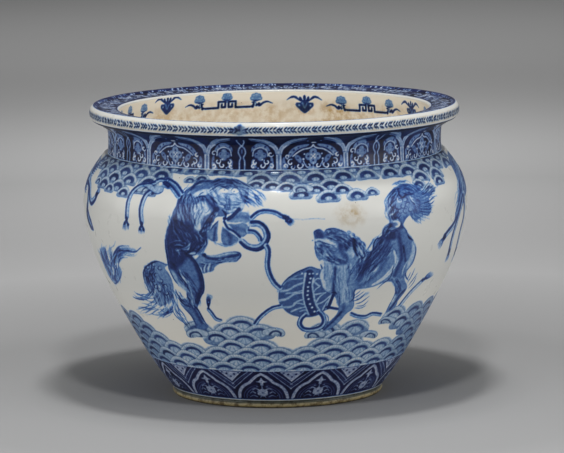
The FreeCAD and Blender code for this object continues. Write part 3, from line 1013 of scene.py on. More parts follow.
def rearing_lion(b):
    """The lion that rears on its hind legs, head turned back, with the bow on its chest."""
    b.wash(0.60, 177.5, 199.5, 184, 192, 191.5, 186.5, 196.5, 181.5, 204, 179.5, 213, 180, 222.5, 178.5,
        233.5, 179.5, 242, 182, 247.5, 185, 249, 190, 248, 196.5, 246, 202, 243.5, 206, 243, 209, 240, 212,
        230.5, 213.5, 223, 216.5, 215.5, 218, 211.5, 229.5, 207, 231, 207.5, 237, 207, 242.5, 204.5, 248,
        201, 252.5, 192, 256.5, 195.5, 260.5, 200.5, 270, 203.5, 279, 204.5, 286.5, 203.5, 292, 200.5,
        297.5, 198.5, 304, 198, 308.5, 201.5, 315.5, 204.5, 323, 208.5, 326, 205.5, 329.5, 197, 327.5, 191,
        315.5, 184.5, 309, 179.5, 301, 186.5, 297.5, 186.5, 292, 181, 286.5, 174, 279, 169, 270, 168,
        263.5, 167, 257, 166, 249.5, 165, 242.5, 165.5, 235, 165.5, 240, 166, 232.5, 167.5, 227.5, 170.5,
        222, 171.5, 216.5, 173.5, 210.5, 176, 206)
    b.tint(0.22, 1.5, 207.5, 190, 214.5, 187, 222.5, 187, 230.5, 187.5, 237, 189, 240, 194.5, 241.5, 199.5,
        244.5, 204, 243, 208.5, 237, 211, 229.5, 212.5, 223, 209.5, 218, 204.5, 213, 199.5, 209, 196)
    b.tint(0.14, 1.4, 193, 194.5, 198, 191, 205.5, 189, 210, 190.5, 207, 194.5, 201, 195.5, 196, 197.5)
    b.fur(12, 9, 70, 0.6, 186, 196, 190, 206, 193, 216, 196, 228)
    b.tint(0.16, 1.5, 201, 201, 205.5, 201.5, 208.5, 207.5, 210.5, 212, 206, 215.5, 201.5, 219.5, 200.5,
        223.5, 201, 229, 198, 230.5, 194.5, 227.5, 192.5, 219.5, 192.5, 212.5, 193, 206, 196.5, 204)
    b.tint(0.36, 2.5, 169, 267.5, 172, 269.5, 176.5, 276, 181.5, 282.5, 186.5, 289.5, 186.5, 292, 181, 287,
        174, 279)
    b.tint(0.88, 4, 168, 228, 174.5, 218, 182, 220.5, 191, 223.5, 195, 231, 201, 233, 207, 231, 207, 241.5,
        204, 248, 197, 247.5, 191, 254, 181, 266, 172, 270, 169, 266, 167.5, 253.5, 166, 242.5, 166.5, 235,
        166.5, 238.5)
    b.shade(4.2, 0.75, 186.5, 252.5, 194, 261.5, 198.5, 271.5, 201, 280.5, 201.5, 288, 199, 295, 197, 302.5)
    b.shade(3.4, 0.55, 173.5, 264.5, 178, 274.5, 183, 282, 188, 288, 192.5, 293.5)
    b.lift(2.4, 0.62, 179.5, 270, 183, 277, 188, 283.5, 191, 290.5, 192, 297.5)
    b.shade(3.6, 0.55, 191, 301, 194, 308.5, 197.5, 315, 201.5, 322.5)
    b.lift(1.6, 0.45, 197.5, 310.5, 201.5, 316.5, 204, 322.5)
    b.shade(3.6, 0.55, 182, 196, 179, 204.5, 177.5, 213.5, 173, 220.5)
    b.shade(3.2, 0.45, 192.5, 188.5, 186.5, 197.5, 185, 207.5, 187, 218)
    b.fur(9, 9, 60, 0.65, 191.5, 187, 184, 194.5, 181.5, 203, 182, 212, 184, 220.5)
    b.fur(6, 8, 36, 0.5, 192.5, 199.5, 190, 207.5, 191, 216.5, 193.5, 225)
    b.fur(14, 8, 90, 0.5, 174.5, 216.5, 177, 227.5, 182, 235.5, 188, 245.5, 174, 246, 174, 254)
    b.fur(8, 7, 50, 0.6, 198, 233, 201, 238.5, 202, 244, 199.5, 250, 188, 252.5)
    b.fur(4, 6, 36, 0.75, 194.5, 185.5, 201, 182, 210, 181, 218.5, 180, 228, 180, 237, 182, 244.5, 184.5)
    b.shade(3.6, 0.5, 193.5, 186.5, 199, 182, 205.5, 181, 213, 182, 218.5, 180, 226, 179.5, 233.5, 181,
        240, 183, 244.5, 185.5)
    b.shade(2.2, 0.3, 218.5, 185, 224.5, 184.5, 230.5, 186.5, 236.5, 185.5, 241.5, 187.5)
    b.shade(3.0, 0.55, 242, 185, 244.5, 190, 245, 196.5, 247.5, 201.5)
    b.ink(1.5, 0.85, 240.5, 183.5, 244.5, 187.5, 245.5, 194.5, 245, 199.5, 248.5, 202.5, 251.5, 205)
    b.ink(1.2, 0.6, 244.5, 184, 251, 185, 258, 187)
    b.ink(1.2, 0.5, 246.5, 187.5, 252.5, 189, 258.5, 191)
    b.ink(1.2, 0.55, 247.5, 190.5, 254, 194.5, 261.5, 196.5)
    b.ink(1.3, 0.6, 247.5, 194.5, 253, 197.5, 259.5, 201)
    b.ink(1.3, 0.65, 246.5, 197.5, 252.5, 201, 259, 207)
    b.ink(1.2, 0.6, 243, 200, 246.5, 204, 249, 207)
    b.ink(1.1, 0.5, 239, 189, 241.5, 194.5, 240.5, 199.5)
    b.fur(7, 6, 60, 0.6, 211, 192, 219, 186, 229, 186, 240, 187, 244, 194)
    b.fur(9, 7, 70, 0.45, 211, 190, 215, 197, 221, 203, 231, 206, 241, 206)
    b.fur(7, 8, 40, 0.4, 226, 195, 228, 202, 229, 209)
    b.fur(7, 12, 50, 0.6, 236, 182, 246, 187, 256, 194, 262, 200)
    b.fur(6, 9, 30, 0.5, 240, 192, 248, 198, 256, 204)
    b.tint(0.0, 0.6, 219.5, 190, 222.5, 188.4, 226.5, 188.8, 228.5, 191, 225, 192.8, 221, 192)
    b.tint(0.0, 0.6, 231.5, 191, 234, 189, 237.5, 189.6, 239, 191.6, 236, 193, 233, 192.6)
    b.dab(1.1, 0.9, 224.5, 190)
    b.dab(1.1, 0.9, 234, 191.5)
    b.ink(1.0, 0.85, 218.5, 187.5, 222.5, 187, 226.5, 188.5, 229.5, 190.5)
    b.ink(1.0, 0.85, 231, 190.5, 233.5, 188, 237, 188, 239, 190.5)
    b.ink(1.4, 0.5, 227, 193, 230.5, 194.5, 234, 194, 237.5, 196.5)
    b.ink(1.2, 0.45, 224.5, 196, 226, 198.5, 229.5, 199.5)
    b.ink(1.0, 0.5, 235, 196.5, 239, 200, 243.5, 201.5)
    b.shade(2.4, 0.28, 215.5, 191.5, 218, 196.5, 222.5, 199.5)
    b.shade(3.2, 0.2, 228, 203, 234, 206, 239, 204.5)
    b.ink(1.8, 0.85, 210.5, 196, 213.5, 200, 217.5, 203.5)
    b.shade(2.6, 0.6, 207, 200, 211.5, 204.5, 214.5, 209)
    b.ink(1.4, 0.7, 213, 201.5, 215, 206, 214.5, 211)
    b.ink(1.3, 0.45, 220, 204, 224, 205.5, 224.5, 208.5)
    b.ink(1.5, 0.8, 194.5, 198.5, 199.5, 196.5, 204.5, 196.5, 207.5, 200)
    b.ink(1.3, 0.65, 204, 192, 201, 193.5, 198, 196)
    b.ink(1.1, 0.55, 195, 203, 193, 209, 194.5, 215)
    b.ink(1.0, 0.5, 198, 199.5, 196.5, 204.5, 197.5, 209)
    b.ink(1.0, 0.5, 210, 208.5, 207.5, 212, 204, 213.5)
    b.shade(3.0, 0.35, 204, 216.5, 202.5, 221.5, 204, 225)
    b.fur(9, 8, 60, 0.5, 199, 198, 201, 208, 198, 218, 197, 228)
    b.fur(12, 9, 60, 0.55, 180, 272, 187, 282, 193, 292, 196, 304)
    b.band(4.6, 0.9, 217, 209, 212.5, 215.5, 207.5, 222.5, 204, 229, 201, 233)
    b.fur(5, 3, 22, 0.7, 215.5, 212, 211.5, 218.5, 207, 225, 203.5, 231.5)
    b.lift(1.4, 0.8, 218, 219, 213.5, 223, 210.5, 229)
    b.wash(0.40, 226, 219.5, 230.5, 215.5, 239, 212, 246.5, 212.5, 251, 216.5, 250.5, 220.5, 244.5, 223,
        235, 222.5, 228, 222)
    b.wash(0.50, 227.5, 224, 237, 223.5, 245, 223.5, 249, 227.5, 247.5, 232.5, 243, 237, 239, 234.5, 233.5,
        229.5)
    b.wash(0.55, 222.5, 226.5, 228, 231, 237, 237, 238.5, 240.5, 233.5, 244, 226, 245.5, 222, 242, 221,
        235.5)
    b.wash(0.50, 218.5, 220.5, 217.5, 231, 217.5, 240.5, 213, 241.5, 208.5, 238.5, 207.5, 233, 210.5, 229,
        214.5, 223.5)
    b.shade(3.6, 0.35, 230.5, 219.5, 239, 216.5, 248, 218)
    b.shade(3.4, 0.35, 232, 227.5, 240, 229, 246.5, 231)
    b.shade(4.0, 0.45, 226, 231, 230.5, 237.5, 230.5, 243.5)
    b.shade(2.2, 0.6, 215.5, 227.5, 214.5, 234, 214, 240)
    b.lift(1.7, 0.9, 220.5, 222, 219.5, 229.5, 220, 239)
    b.lift(1.4, 0.8, 228, 223, 235.5, 223.5, 243, 222)
    b.band(3.6, 0.88, 228, 219, 233.5, 215, 239, 209)
    b.band(2.4, 0.9, 224, 221.5, 228, 228, 234, 231.5, 240, 237)
    b.dab(3.6, 0.9, 224.5, 218.5)
    b.ink(2.4, 0.85, 222, 209.5, 225.5, 214, 225.5, 218.5)
    b.ink(1.3, 0.7, 218, 221.5, 213.5, 226, 210.5, 230.5)
    b.ink(0.9, 0.5, 208.5, 238.5, 215.5, 242.5, 224.5, 246, 233.5, 245, 238.5, 241.5)
    b.ink(0.9, 0.5, 251, 215.5, 251, 221.5, 249, 227.5, 247.5, 233, 243, 237)
    b.fur(3, 3, 26, 0.3, 211.5, 241.5, 218.5, 244, 227.5, 245.5, 236.5, 242.5)
    b.fur(3, 3, 16, 0.3, 247.5, 212.5, 250, 218.5, 248.5, 228)
    b.wash(0.52, 197.5, 257.5, 201.5, 253.5, 207, 255, 216, 255, 225, 252.5, 233, 251.5, 238.5, 252.5, 241,
        256, 239, 259.5, 235.5, 262, 229, 262, 220.5, 263.5, 215.5, 266.5, 213, 271, 208.5, 272, 203.5,
        273.5, 202, 269.5, 198, 264.5, 195.5, 260)
    b.band(2.8, 0.85, 203, 255, 208.5, 258, 219.5, 259, 230.5, 256.5, 238, 255)
    b.dab(4.0, 0.92, 204.5, 255)
    b.lift(1.4, 0.6, 208.5, 256, 218, 256, 229, 253.5, 236.5, 253)
    b.fur(4.5, 4, 40, 0.55, 201.5, 263.5, 207, 264.5, 214.5, 263, 223.5, 261, 234.5, 259)
    b.ink(1.0, 0.7, 204.5, 264.5, 202.5, 268.5, 203, 273)
    b.ink(1.0, 0.7, 208, 264.5, 206, 268.5, 206.5, 273)
    b.ink(1.0, 0.7, 211.5, 264, 211, 268, 210, 272.5)
    b.lift(1.0, 0.8, 206, 264, 204.5, 268, 204.5, 272.5)
    b.lift(1.0, 0.8, 210, 264, 208.5, 268, 208, 271.5)
    b.ink(1.3, 0.9, 233.5, 251.5, 239.5, 253, 240.5, 256.5, 236.5, 261.5)
    b.ink(1.4, 0.95, 165, 239.5, 165.5, 248, 167, 256.5, 168, 263.5, 169, 269.5)
    b.ink(1.3, 0.95, 189, 254, 194.5, 259.5, 199.5, 268, 202.5, 276, 204, 285.5, 203.5, 292, 200.5, 297.5,
        198, 305.5)
    b.ink(1.6, 0.95, 178, 269.5, 180, 275.5, 183.5, 280.5, 188, 285.5)
    b.ink(1.2, 0.9, 169.5, 270, 174, 279, 179.5, 286.5)
    b.ink(1.8, 0.95, 193.5, 305.5, 197, 308.5, 200.5, 314, 204.5, 321.5, 208, 325.5)
    b.ink(1.2, 0.85, 184.5, 308.5, 191, 315.5, 197, 325.5)
    b.fur(7, 6, 26, 0.75, 176.5, 290.5, 181.5, 297.5, 186.5, 303, 191, 307)
    b.ink(1.6, 0.9, 175.5, 289.5, 178, 295, 182.5, 300.5, 186, 302.5)
    b.ink(1.6, 0.9, 178, 298, 182.5, 303, 188, 307)
    b.ink(1.4, 0.9, 186.5, 293, 188, 297.5, 190, 301)
    b.lift(2.2, 0.8, 182.5, 293, 184.5, 296.5, 186.5, 299.5)
    b.fur(3, 6, 22, 0.6, 201.5, 237, 204.5, 241.5, 201.5, 246.5, 197, 251)
    b.ink(1.3, 0.85, 204, 237, 207, 242.5, 205.5, 247)
    b.ink(1.2, 0.8, 200.5, 242.5, 200.5, 247.5, 197, 252, 194.5, 256)
    b.ink(1.2, 0.7, 197, 244, 194, 249, 189.5, 252.5)


def lion_tail(b):
    """The rearing lion's bushy tail, curled tight above and streaming below."""
    b.wash(0.50, 143.5, 278.5, 143, 273, 145, 267, 150.5, 262, 156.5, 260.5, 163.5, 263.5, 168, 264.5, 165,
        268, 168.5, 273, 171.5, 278.5, 173.5, 286.5, 174, 292.5, 172, 299, 167, 304, 160, 306, 155.5, 302,
        153, 297, 149.5, 292.5, 146.5, 285.5)
    b.shade(7, 0.35, 150.5, 267, 151.5, 275, 155.5, 284.5, 160.5, 292.5)
    b.shade(4, 0.4, 163.5, 284.5, 166.5, 290.5, 165.5, 294.5)
    for breadth, *guide in (
            (9, 152, 268, 149, 278, 152, 288, 158, 296), (9, 158, 290, 159, 298, 154, 305, 141, 309),
            (9, 164, 288, 167, 299, 164, 309, 152, 315), (7, 168, 288, 172, 299, 171, 309, 160, 316),
            (5, 171, 290, 174, 300, 179, 312, 188, 325), (7, 154, 284, 153, 293, 147, 298, 138, 296)):
        b.fur(breadth, 11, 46, 0.62, *guide)
    b.fur(14, 6, 50, 0.6, 150.5, 265, 150.5, 273, 154.5, 282.5, 159.5, 291.5)
    b.ink(1.6, 0.8, 166.5, 264.5, 158.5, 261.5, 151.5, 263, 145.5, 268, 143.5, 274, 145, 282.5, 150.5,
        293.5)
    b.curls(4.0, 0.8, 151.5, 272, 156.5, 275, 161, 281, 165, 286.5, 156.5, 286.5, 152.5, 280, 166.5, 293,
        160, 289.5, 148, 267, 154, 264.5, 147, 275, 160, 268)
    b.ink(1.3, 0.55, 155.5, 297.5, 150.5, 298.5, 144, 296.5, 139, 294.5)
    b.ink(1.3, 0.5, 156.5, 303, 151.5, 302, 145, 299.5, 140.5, 298)
    b.ink(1.5, 0.6, 157, 305.5, 150.5, 308.5, 144, 307.5, 138, 307)
    b.ink(1.2, 0.5, 158.5, 310, 151.5, 306, 146, 304, 141.5, 303)
    b.ink(1.3, 0.55, 165.5, 314.5, 156.5, 315, 150.5, 313.5)
    b.ink(1.4, 0.7, 172, 309, 175.5, 315.5, 181.5, 321, 189, 326)
    b.ink(1.2, 0.65, 174, 305.5, 177, 312, 181.5, 317, 186, 319.5)
    b.ink(1.1, 0.6, 175.5, 303, 178.5, 308.5, 181, 312)
    b.lift(1.3, 0.6, 155.5, 296.5, 158.5, 305, 160, 313)
    b.lift(1.1, 0.5, 160.5, 297.5, 163.5, 306, 165.5, 313)
    b.lift(1.1, 0.5, 165.5, 298.5, 168.5, 307, 169.5, 312)


def standing_lion(b):
    """The lion that stands facing left with its head lifted."""
    b.wash(0.52, 314, 234, 315.5, 230.5, 319.5, 230, 323.5, 232, 325.5, 230.5, 328, 229, 334, 229, 341,
        230.5, 346.5, 233.5, 352.5, 237, 358.5, 240.5, 363, 245, 365.5, 248.5, 368, 252, 372.5, 251, 373.5,
        245.5, 374.5, 240.5, 381.5, 236.5, 382.5, 230.5, 386, 225.5, 390, 223.5, 396, 222.5, 401.5, 225.5,
        404.5, 229.5, 408, 233.5, 412.5, 238.5, 415, 245, 416, 251.5, 414.5, 258, 410.5, 265.5, 407, 271.5,
        404.5, 278.5, 407, 285.5, 406, 290, 402, 295.5, 398, 300.5, 396, 305.5, 392, 310, 386, 312.5, 389,
        306, 394, 299, 395.5, 292.5, 394.5, 284.5, 390, 281.5, 383, 283, 374, 286.5, 364.5, 288.5, 357,
        289.5, 354.5, 293, 354, 298.5, 354, 305.5, 351, 310.5, 346.5, 313.5, 339.5, 321.5, 332.5, 327.5,
        327, 330.5, 323, 330, 325.5, 325, 332, 319, 337, 313.5, 338.5, 307, 335.5, 297.5, 329.5, 292.5,
        324, 288.5, 322, 282.5, 320.5, 276, 322, 268.5, 321.5, 264, 318.5, 258, 315.5, 251, 315, 244,
        314.5, 239.5)
    b.tint(0.22, 2, 320.5, 261, 327, 261.5, 334, 262.5, 335, 268.5, 334, 280, 332, 287.5, 328, 291.5,
        323.5, 287.5, 322, 281.5, 320.5, 275.5, 322, 268.5)
    b.tint(0.38, 3, 324, 264, 334, 264, 335, 276, 332.5, 288.5, 328, 288.5, 325, 281)
    b.tint(0.10, 1.2, 320.5, 260, 323, 260, 324, 265.5, 322.5, 271.5, 323.5, 281, 326, 288.5, 323.5, 287.5,
        321.5, 281.5, 320, 275.5, 322, 268.5)
    b.tint(0.34, 3, 337, 264, 348, 264, 352.5, 265.5, 351, 276, 348, 284, 351, 295.5, 348, 304, 340, 304,
        338, 291.5, 335.5, 278)
    b.tint(0.30, 1.8, 315.5, 238.5, 322.5, 239.5, 328, 238, 337, 241, 338.5, 248, 333.5, 251, 325.5, 249.5,
        319.5, 248, 315.5, 245.5)
    b.tint(0.05, 1.2, 325.5, 239.5, 328.5, 239.5, 330.5, 242, 327, 243)
    b.tint(0.10, 1.0, 330.5, 243, 335.5, 243.5, 334, 245, 331.5, 245)
    b.tint(0.80, 2.4, 314.5, 235, 316, 231, 320, 230.5, 323.5, 233, 324, 237, 319.5, 240.5, 315.5, 238)
    b.tint(0.74, 3.5, 325.5, 231, 334, 229.5, 341.5, 231.5, 351, 236.5, 354, 240.5, 352.5, 245.5, 348, 248,
        341.5, 249.5, 337, 244, 330.5, 239.5, 325.5, 237)
    b.tint(0.6, 1.6, 319, 243.5, 326, 245, 333, 246.5, 338, 250, 331, 253.5, 323, 249.5)
    b.fur(12, 5, 90, 0.6, 327, 233, 337, 235, 346, 239, 352, 245)
    b.fur(8, 4, 50, 0.5, 318, 246, 326, 247, 335, 250)
    b.shade(4.5, 0.45, 339.5, 247, 341.5, 251.5, 346.5, 258)
    b.tint(0.34, 2.4, 346.5, 252.5, 349.5, 248.5, 352.5, 248, 355.5, 253.5, 354.5, 256.5, 349.5, 258)
    b.shade(3.0, 0.55, 349.5, 240.5, 348.5, 245.5, 346.5, 249.5)
    b.tint(0.74, 2.5, 320.5, 247, 325, 251, 330.5, 252.5, 335.5, 256.5, 341, 258, 348, 260, 345, 264.5,
        337, 264, 330.5, 262.5, 325.5, 256.5, 321.5, 252.5)
    b.fur(6, 5, 60, 0.7, 319.5, 248, 324, 254, 330.5, 259.5, 338.5, 262.5)
    b.lift(1.0, 0.6, 322.5, 248, 326.5, 253.5, 330.5, 258.5)
    b.lift(1.0, 0.5, 327, 248.5, 330.5, 253.5, 334, 258)
    b.lift(1.0, 0.5, 337, 256.5, 341.5, 258.5, 345.5, 260)
    b.band(3.2, 0.95, 354, 237, 354, 244, 355, 249.5, 358, 255)
    b.dab(2.0, 0.98, 354.5, 247.5)
    b.shade(4.2, 0.55, 358, 241, 361.5, 247, 364.5, 253.5)
    b.fur(8, 7, 60, 0.65, 357, 240.5, 361.5, 248, 363, 258, 360, 268.5)
    b.lift(1.2, 0.75, 358, 245.5, 361, 251.5, 364.5, 258, 363, 264)
    b.lift(1.0, 0.65, 356.5, 251, 360, 258, 360, 264)
    b.lift(1.0, 0.65, 361.5, 245.5, 365.5, 253.5)
    b.ink(1.4, 0.9, 358.5, 253.5, 363, 258, 366, 253.5)
    b.ink(1.5, 0.9, 368, 252.5, 367.5, 258, 365.5, 264)
    b.tint(0.74, 5, 368.5, 251.5, 373, 251, 375.5, 241, 382.5, 237, 388.5, 238, 390.5, 245.5, 387.5, 255,
        381.5, 264, 372.5, 271.5, 363, 279.5, 358, 284, 355.5, 278, 358.5, 268.5, 365.5, 261)
    b.shade(6, 0.5, 381.5, 240.5, 374, 251.5, 368, 262.5, 360, 273)
    b.fur(22, 12, 110, 0.5, 384.5, 242.5, 375.5, 255, 366, 267, 358.5, 281)
    b.shade(4.0, 0.35, 387.5, 258, 380, 270, 371, 279.5, 360, 286)
    b.lift(5.0, 0.75, 394, 251, 396.5, 261, 391.5, 270, 383, 278.5, 372.5, 285)
    b.ink(1.0, 0.45, 393, 247, 396, 251.5, 397, 260, 394, 267, 386, 276)
    b.tint(0.88, 3, 382.5, 237, 383, 230.5, 386, 226, 390.5, 224, 394.5, 227, 399, 230.5, 397, 238, 390.5,
        240.5, 386, 240.5)
    b.fur(9, 5, 50, 0.6, 384.5, 233.5, 387.5, 229, 393, 226.5)
    b.tint(0.60, 3, 396, 232, 403.5, 230.5, 408.5, 235, 412, 240.5, 413.5, 248, 410.5, 258, 406, 265.5,
        403, 276, 397, 279.5, 394.5, 273, 399, 262.5, 400, 251.5, 397, 242.5)
    b.shade(4.5, 0.55, 399, 234, 400.5, 245.5, 401.5, 258, 398, 267, 394.5, 275.5)
    b.shade(2.4, 0.55, 403.5, 245.5, 404.5, 251.5, 405.5, 261)
    b.ink(1.5, 0.95, 402.5, 245.5, 404, 249.5, 403.5, 253.5)
    b.tint(0.24, 2, 412, 241, 415, 245.5, 415, 252.5, 413, 259.5, 410, 264.5, 407, 268.5, 407.5, 262.5,
        410.5, 255, 412, 248)
    b.lift(1.6, 0.6, 407.5, 261, 403.5, 268.5, 402, 275.5)
    b.shade(3, 0.45, 397, 281, 400, 287, 399, 292.5)
    b.fur(8, 6, 34, 0.45, 393, 278.5, 397, 284, 400, 291.5)
    b.shade(2.6, 0.7, 404.5, 290, 399, 296, 394.5, 303, 390, 309)
    b.lift(1.2, 0.6, 396, 296, 393, 302, 389, 307)
    b.band(2.6, 0.8, 341, 312, 335.5, 318.5, 329.5, 324.5, 324, 329.5)
    b.shade(3.4, 0.45, 343.5, 304, 343.5, 309, 338.5, 315.5)
    b.shade(3.4, 0.7, 335, 268, 335, 276, 333.5, 284, 333.5, 291, 334, 294.5)
    b.fur(16, 10, 90, 0.32, 341.5, 268.5, 342.5, 280, 345, 291.5, 345, 303)
    b.fur(8, 8, 50, 0.3, 328, 264, 328.5, 273, 329.5, 284)
    b.shade(2.4, 0.35, 348, 265.5, 350, 273, 348, 282.5)
    b.ink(1.3, 0.9, 331.5, 292.5, 335.5, 292.5, 337, 294.5)
    b.ink(1.2, 0.9, 355.5, 288.5, 354, 292.5, 354, 296, 352.5, 300, 349.5, 302)
    b.ink(1.1, 0.8, 354, 298.5, 358.5, 295.5, 364, 291.5)
    b.ink(1.3, 0.85, 352.5, 301.5, 360, 298.5, 366, 292.5)
    b.ink(1.3, 0.8, 355.5, 304, 361.5, 302, 369.5, 296)
    b.ink(1.1, 0.75, 357, 306, 363, 305.5, 368.5, 300.5)
    b.ink(1.1, 0.75, 354.5, 308, 361, 308, 366, 305.5)
    b.ink(1.1, 0.6, 354, 296, 358.5, 292.5, 361, 290)
    b.shade(2.6, 0.25, 357, 299, 363, 296, 368, 293)
    b.ink(1.8, 0.98, 407.5, 235, 409.5, 238, 413.5, 240.5)
    b.ink(1.2, 0.9, 401.5, 225, 405.5, 229.5, 408.5, 235)
    b.ink(1.2, 0.9, 415, 244, 416, 250, 414.5, 258, 412, 264, 407.5, 270)
    b.ink(1.4, 0.95, 405.5, 273, 406, 277, 408, 280)
    b.ink(1.1, 0.8, 407, 279.5, 409, 276, 410.5, 272.5)
    b.ink(1.1, 0.85, 407.5, 282.5, 411.5, 276, 415, 268)
    b.ink(1.3, 0.85, 408.5, 285.5, 413, 279.5, 417.5, 273)
    b.ink(1.1, 0.8, 408.5, 288.5, 413.5, 282.5, 416.5, 276)
    b.ink(1.3, 0.95, 367.5, 252.5, 372.5, 251, 373.5, 245, 376, 239.5, 381.5, 236.5, 382.5, 231.5)
    b.ink(1.2, 0.9, 394.5, 262.5, 391.5, 274.5, 388.5, 280)
    b.ink(1.0, 0.85, 389, 279.5, 382.5, 284, 377, 289)
    b.ink(1.4, 0.9, 388.5, 278.5, 390, 281.5)
    b.ink(1.1, 0.85, 394.5, 284, 395.5, 291.5, 393, 298.5, 389, 305.5, 385.5, 312.5)
    b.ink(1.2, 0.9, 397, 292.5, 395.5, 294.5)
    b.ink(1.0, 0.75, 315, 244, 315, 248.5, 317, 256.5, 319.5, 261)
    b.ink(1.3, 0.9, 320.5, 264.5, 322, 268, 321.5, 269.5)
    b.dab(1.1, 0.75, 312.5, 240.5)
    b.ink(1.2, 0.85, 325, 231.5, 327, 229.5, 334, 228.5, 341, 230.5, 346.5, 233)
    b.ink(1.2, 0.8, 314, 235.5, 314.5, 231.5, 319, 229.5, 323.5, 231.5)
    b.dab(1.4, 0.25, 328.5, 232)
    b.dab(0.8, 0.9, 329.5, 233)
    b.ink(1.0, 0.7, 315, 240.5, 315.5, 244, 317, 247)
    b.ink(1.0, 0.5, 321, 241, 325, 245.5, 330.5, 246.5)
    b.fur(5, 4, 34, 0.7, 348, 233.5, 354, 237, 360, 241, 364, 247)
    b.ink(1.0, 0.6, 349.5, 264, 348, 268, 346.5, 269.5)
    b.band(1.5, 0.14, 315, 240.6, 318.5, 239.4, 322.5, 240, 327, 242, 333, 243)
    b.band(0.9, 0.1, 330, 244, 333.5, 244.6)
    b.ink(1.1, 0.9, 315.4, 242.4, 319, 241.6, 323, 242.4, 327.5, 244.2, 333, 245.4)
    b.band(1.2, 0.2, 351.5, 252, 353.5, 254, 353, 257)


def plume(b):
    """The standing lion's plumed tail, curled round itself with loose tips."""
    b.tint(0.80, 2.2, 400.5, 220.5, 403, 224.5, 403.5, 228, 400.5, 230, 397.5, 229, 400, 225.5)
    b.wash(0.58, 391, 220, 388.5, 214, 387.5, 207, 388, 200.5, 389.5, 195, 392, 190.5, 396.5, 186.5, 401,
        183.5, 407, 184, 413.5, 185, 419, 188.5, 423.5, 192, 428, 192, 431, 188.5, 433.5, 185, 432.5, 192,
        430, 197, 429, 200.5, 431, 206, 430.5, 212, 428, 215.5, 423.5, 215.5, 419.5, 218.5, 416.5, 220,
        412.5, 218, 409.5, 215.5, 406, 219, 403, 224.5, 400.5, 222, 397.5, 218.5, 394, 220.5)
    b.shade(7, 0.3, 391.5, 197, 391, 204.5, 391, 212, 393, 218)
    b.shade(6, 0.3, 400.5, 189, 408, 189, 416, 192.5, 423.5, 195.5)
    b.fur(9, 10, 70, 0.55, 392, 218.5, 389.5, 209.5, 390.5, 200.5, 395.5, 192)
    b.fur(11, 12, 90, 0.5, 396, 189, 404.5, 186.5, 413.5, 189, 421, 193.5, 430, 193)
    b.fur(16, 9, 90, 0.6, 393, 214, 400, 206, 410, 200, 424, 200)
    b.fur(10, 8, 60, 0.45, 414.5, 198, 421, 202, 424.5, 208.5, 426, 213.5)
    b.fur(7, 6, 40, 0.5, 412, 209.5, 414.5, 214.5, 416.5, 219)
    b.tint(0.48, 2, 397.5, 197.5, 403, 197, 408, 195.5, 411.5, 199.5, 413.5, 206, 412, 212, 407, 215.5,
        400.5, 215.5, 398, 211, 396, 204.5)
    b.curls(4.5, 0.6, 400.5, 200.5, 405, 199.5, 403, 206, 408, 204.5, 400.5, 211, 405.5, 211, 410.5, 209.5)
    b.lift(1.6, 0.8, 397, 197.5, 398.5, 201.5, 402, 201.5)
    b.lift(1.4, 0.7, 409.5, 195.5, 412.5, 200.5, 416, 204.5)
    b.shade(2.6, 0.55, 398.5, 190, 399, 193.5, 402.5, 197, 407, 194.5, 413.5, 193.5)
    b.ink(1.5, 0.85, 399, 190.5, 399, 194.5, 402.5, 197.5, 405.5, 195, 410.5, 194)
    b.ink(1.5, 0.85, 410.5, 200.5, 414.5, 204, 416.5, 209.5, 419, 207, 419.5, 202)
    b.ink(1.4, 0.8, 413.5, 198, 419, 200.5, 419.5, 206, 419, 211.5)
    b.ink(1.4, 0.8, 394, 200.5, 391.5, 203.5, 391, 206, 395, 208.5)
    b.ink(1.2, 0.75, 395, 204.5, 396, 208.5, 400.5, 209.5)
    b.ink(1.2, 0.75, 389.5, 204.5, 393, 209.5, 394, 216)
    b.shade(2.8, 0.6, 393.5, 218.5, 397.5, 218, 399, 219)
    b.ink(1.4, 0.8, 414.5, 209.5, 417, 213.5, 421, 212)
    b.ink(1.2, 0.75, 414.5, 190, 419.5, 193, 424.5, 193.5, 430, 192, 432, 186.5)
    b.ink(1.1, 0.7, 419.5, 193, 425.5, 195.5, 430.5, 194.5, 434.5, 188.5, 438, 186)
    b.ink(1.2, 0.75, 428, 201.5, 431, 199.5, 433.5, 197, 437, 195.5)
    b.ink(1.2, 0.8, 426, 202, 430, 204, 432.5, 202.5, 434.5, 200.5)
    b.ink(1.2, 0.7, 428, 206, 430, 209, 432, 207)
    b.ink(1.1, 0.6, 427.5, 214.5, 430.5, 212, 432, 208.5)
    b.ink(1.1, 0.6, 419.5, 216, 420.5, 220, 420.5, 223.5)
    b.ink(1.1, 0.6, 416, 217.5, 417, 220.5, 416.5, 222.5)
    b.ink(1.1, 0.55, 410.5, 215.5, 412.5, 218, 413, 220)
    b.ink(1.1, 0.55, 423.5, 214.5, 426, 217.5)
    b.ink(1.1, 0.6, 388.5, 195.5, 392, 190.5, 396, 186.5)
    b.ink(1.1, 0.6, 391, 192.5, 394, 189)
    b.pen.fill([(387, 203), (409, 182), (434, 203), (409, 224)], 0.1, soft=3, layer="hue")
    for strand in range(44):
        angle = -0.72 + strand * 0.041
        reach = b.chance.uniform(24, 30) + 6 * math.exp(-((angle + 0.55) / 0.3) ** 2)
        run = [(405 + r * math.cos(angle + bend), 203 + r * math.sin(angle + bend))
               for r, bend in ((10, -0.1), (reach * 0.6, 0.08), (reach, -0.06))]
        if strand % 2:
            b.ink(b.chance.uniform(1.0, 1.5), b.chance.uniform(0.5, 0.75), *np.ravel(run))
        else:
            b.lift(1.0, 0.55, *np.ravel(run))
    b.tint(0.06, 1.2, 396, 221.5, 399.5, 221, 400.5, 224, 399, 227, 396, 228, 395.5, 226.5, 398, 225)
    b.ink(1.0, 0.85, 395.5, 227.5, 398, 228, 400.5, 225.5, 400.5, 222, 397, 220)


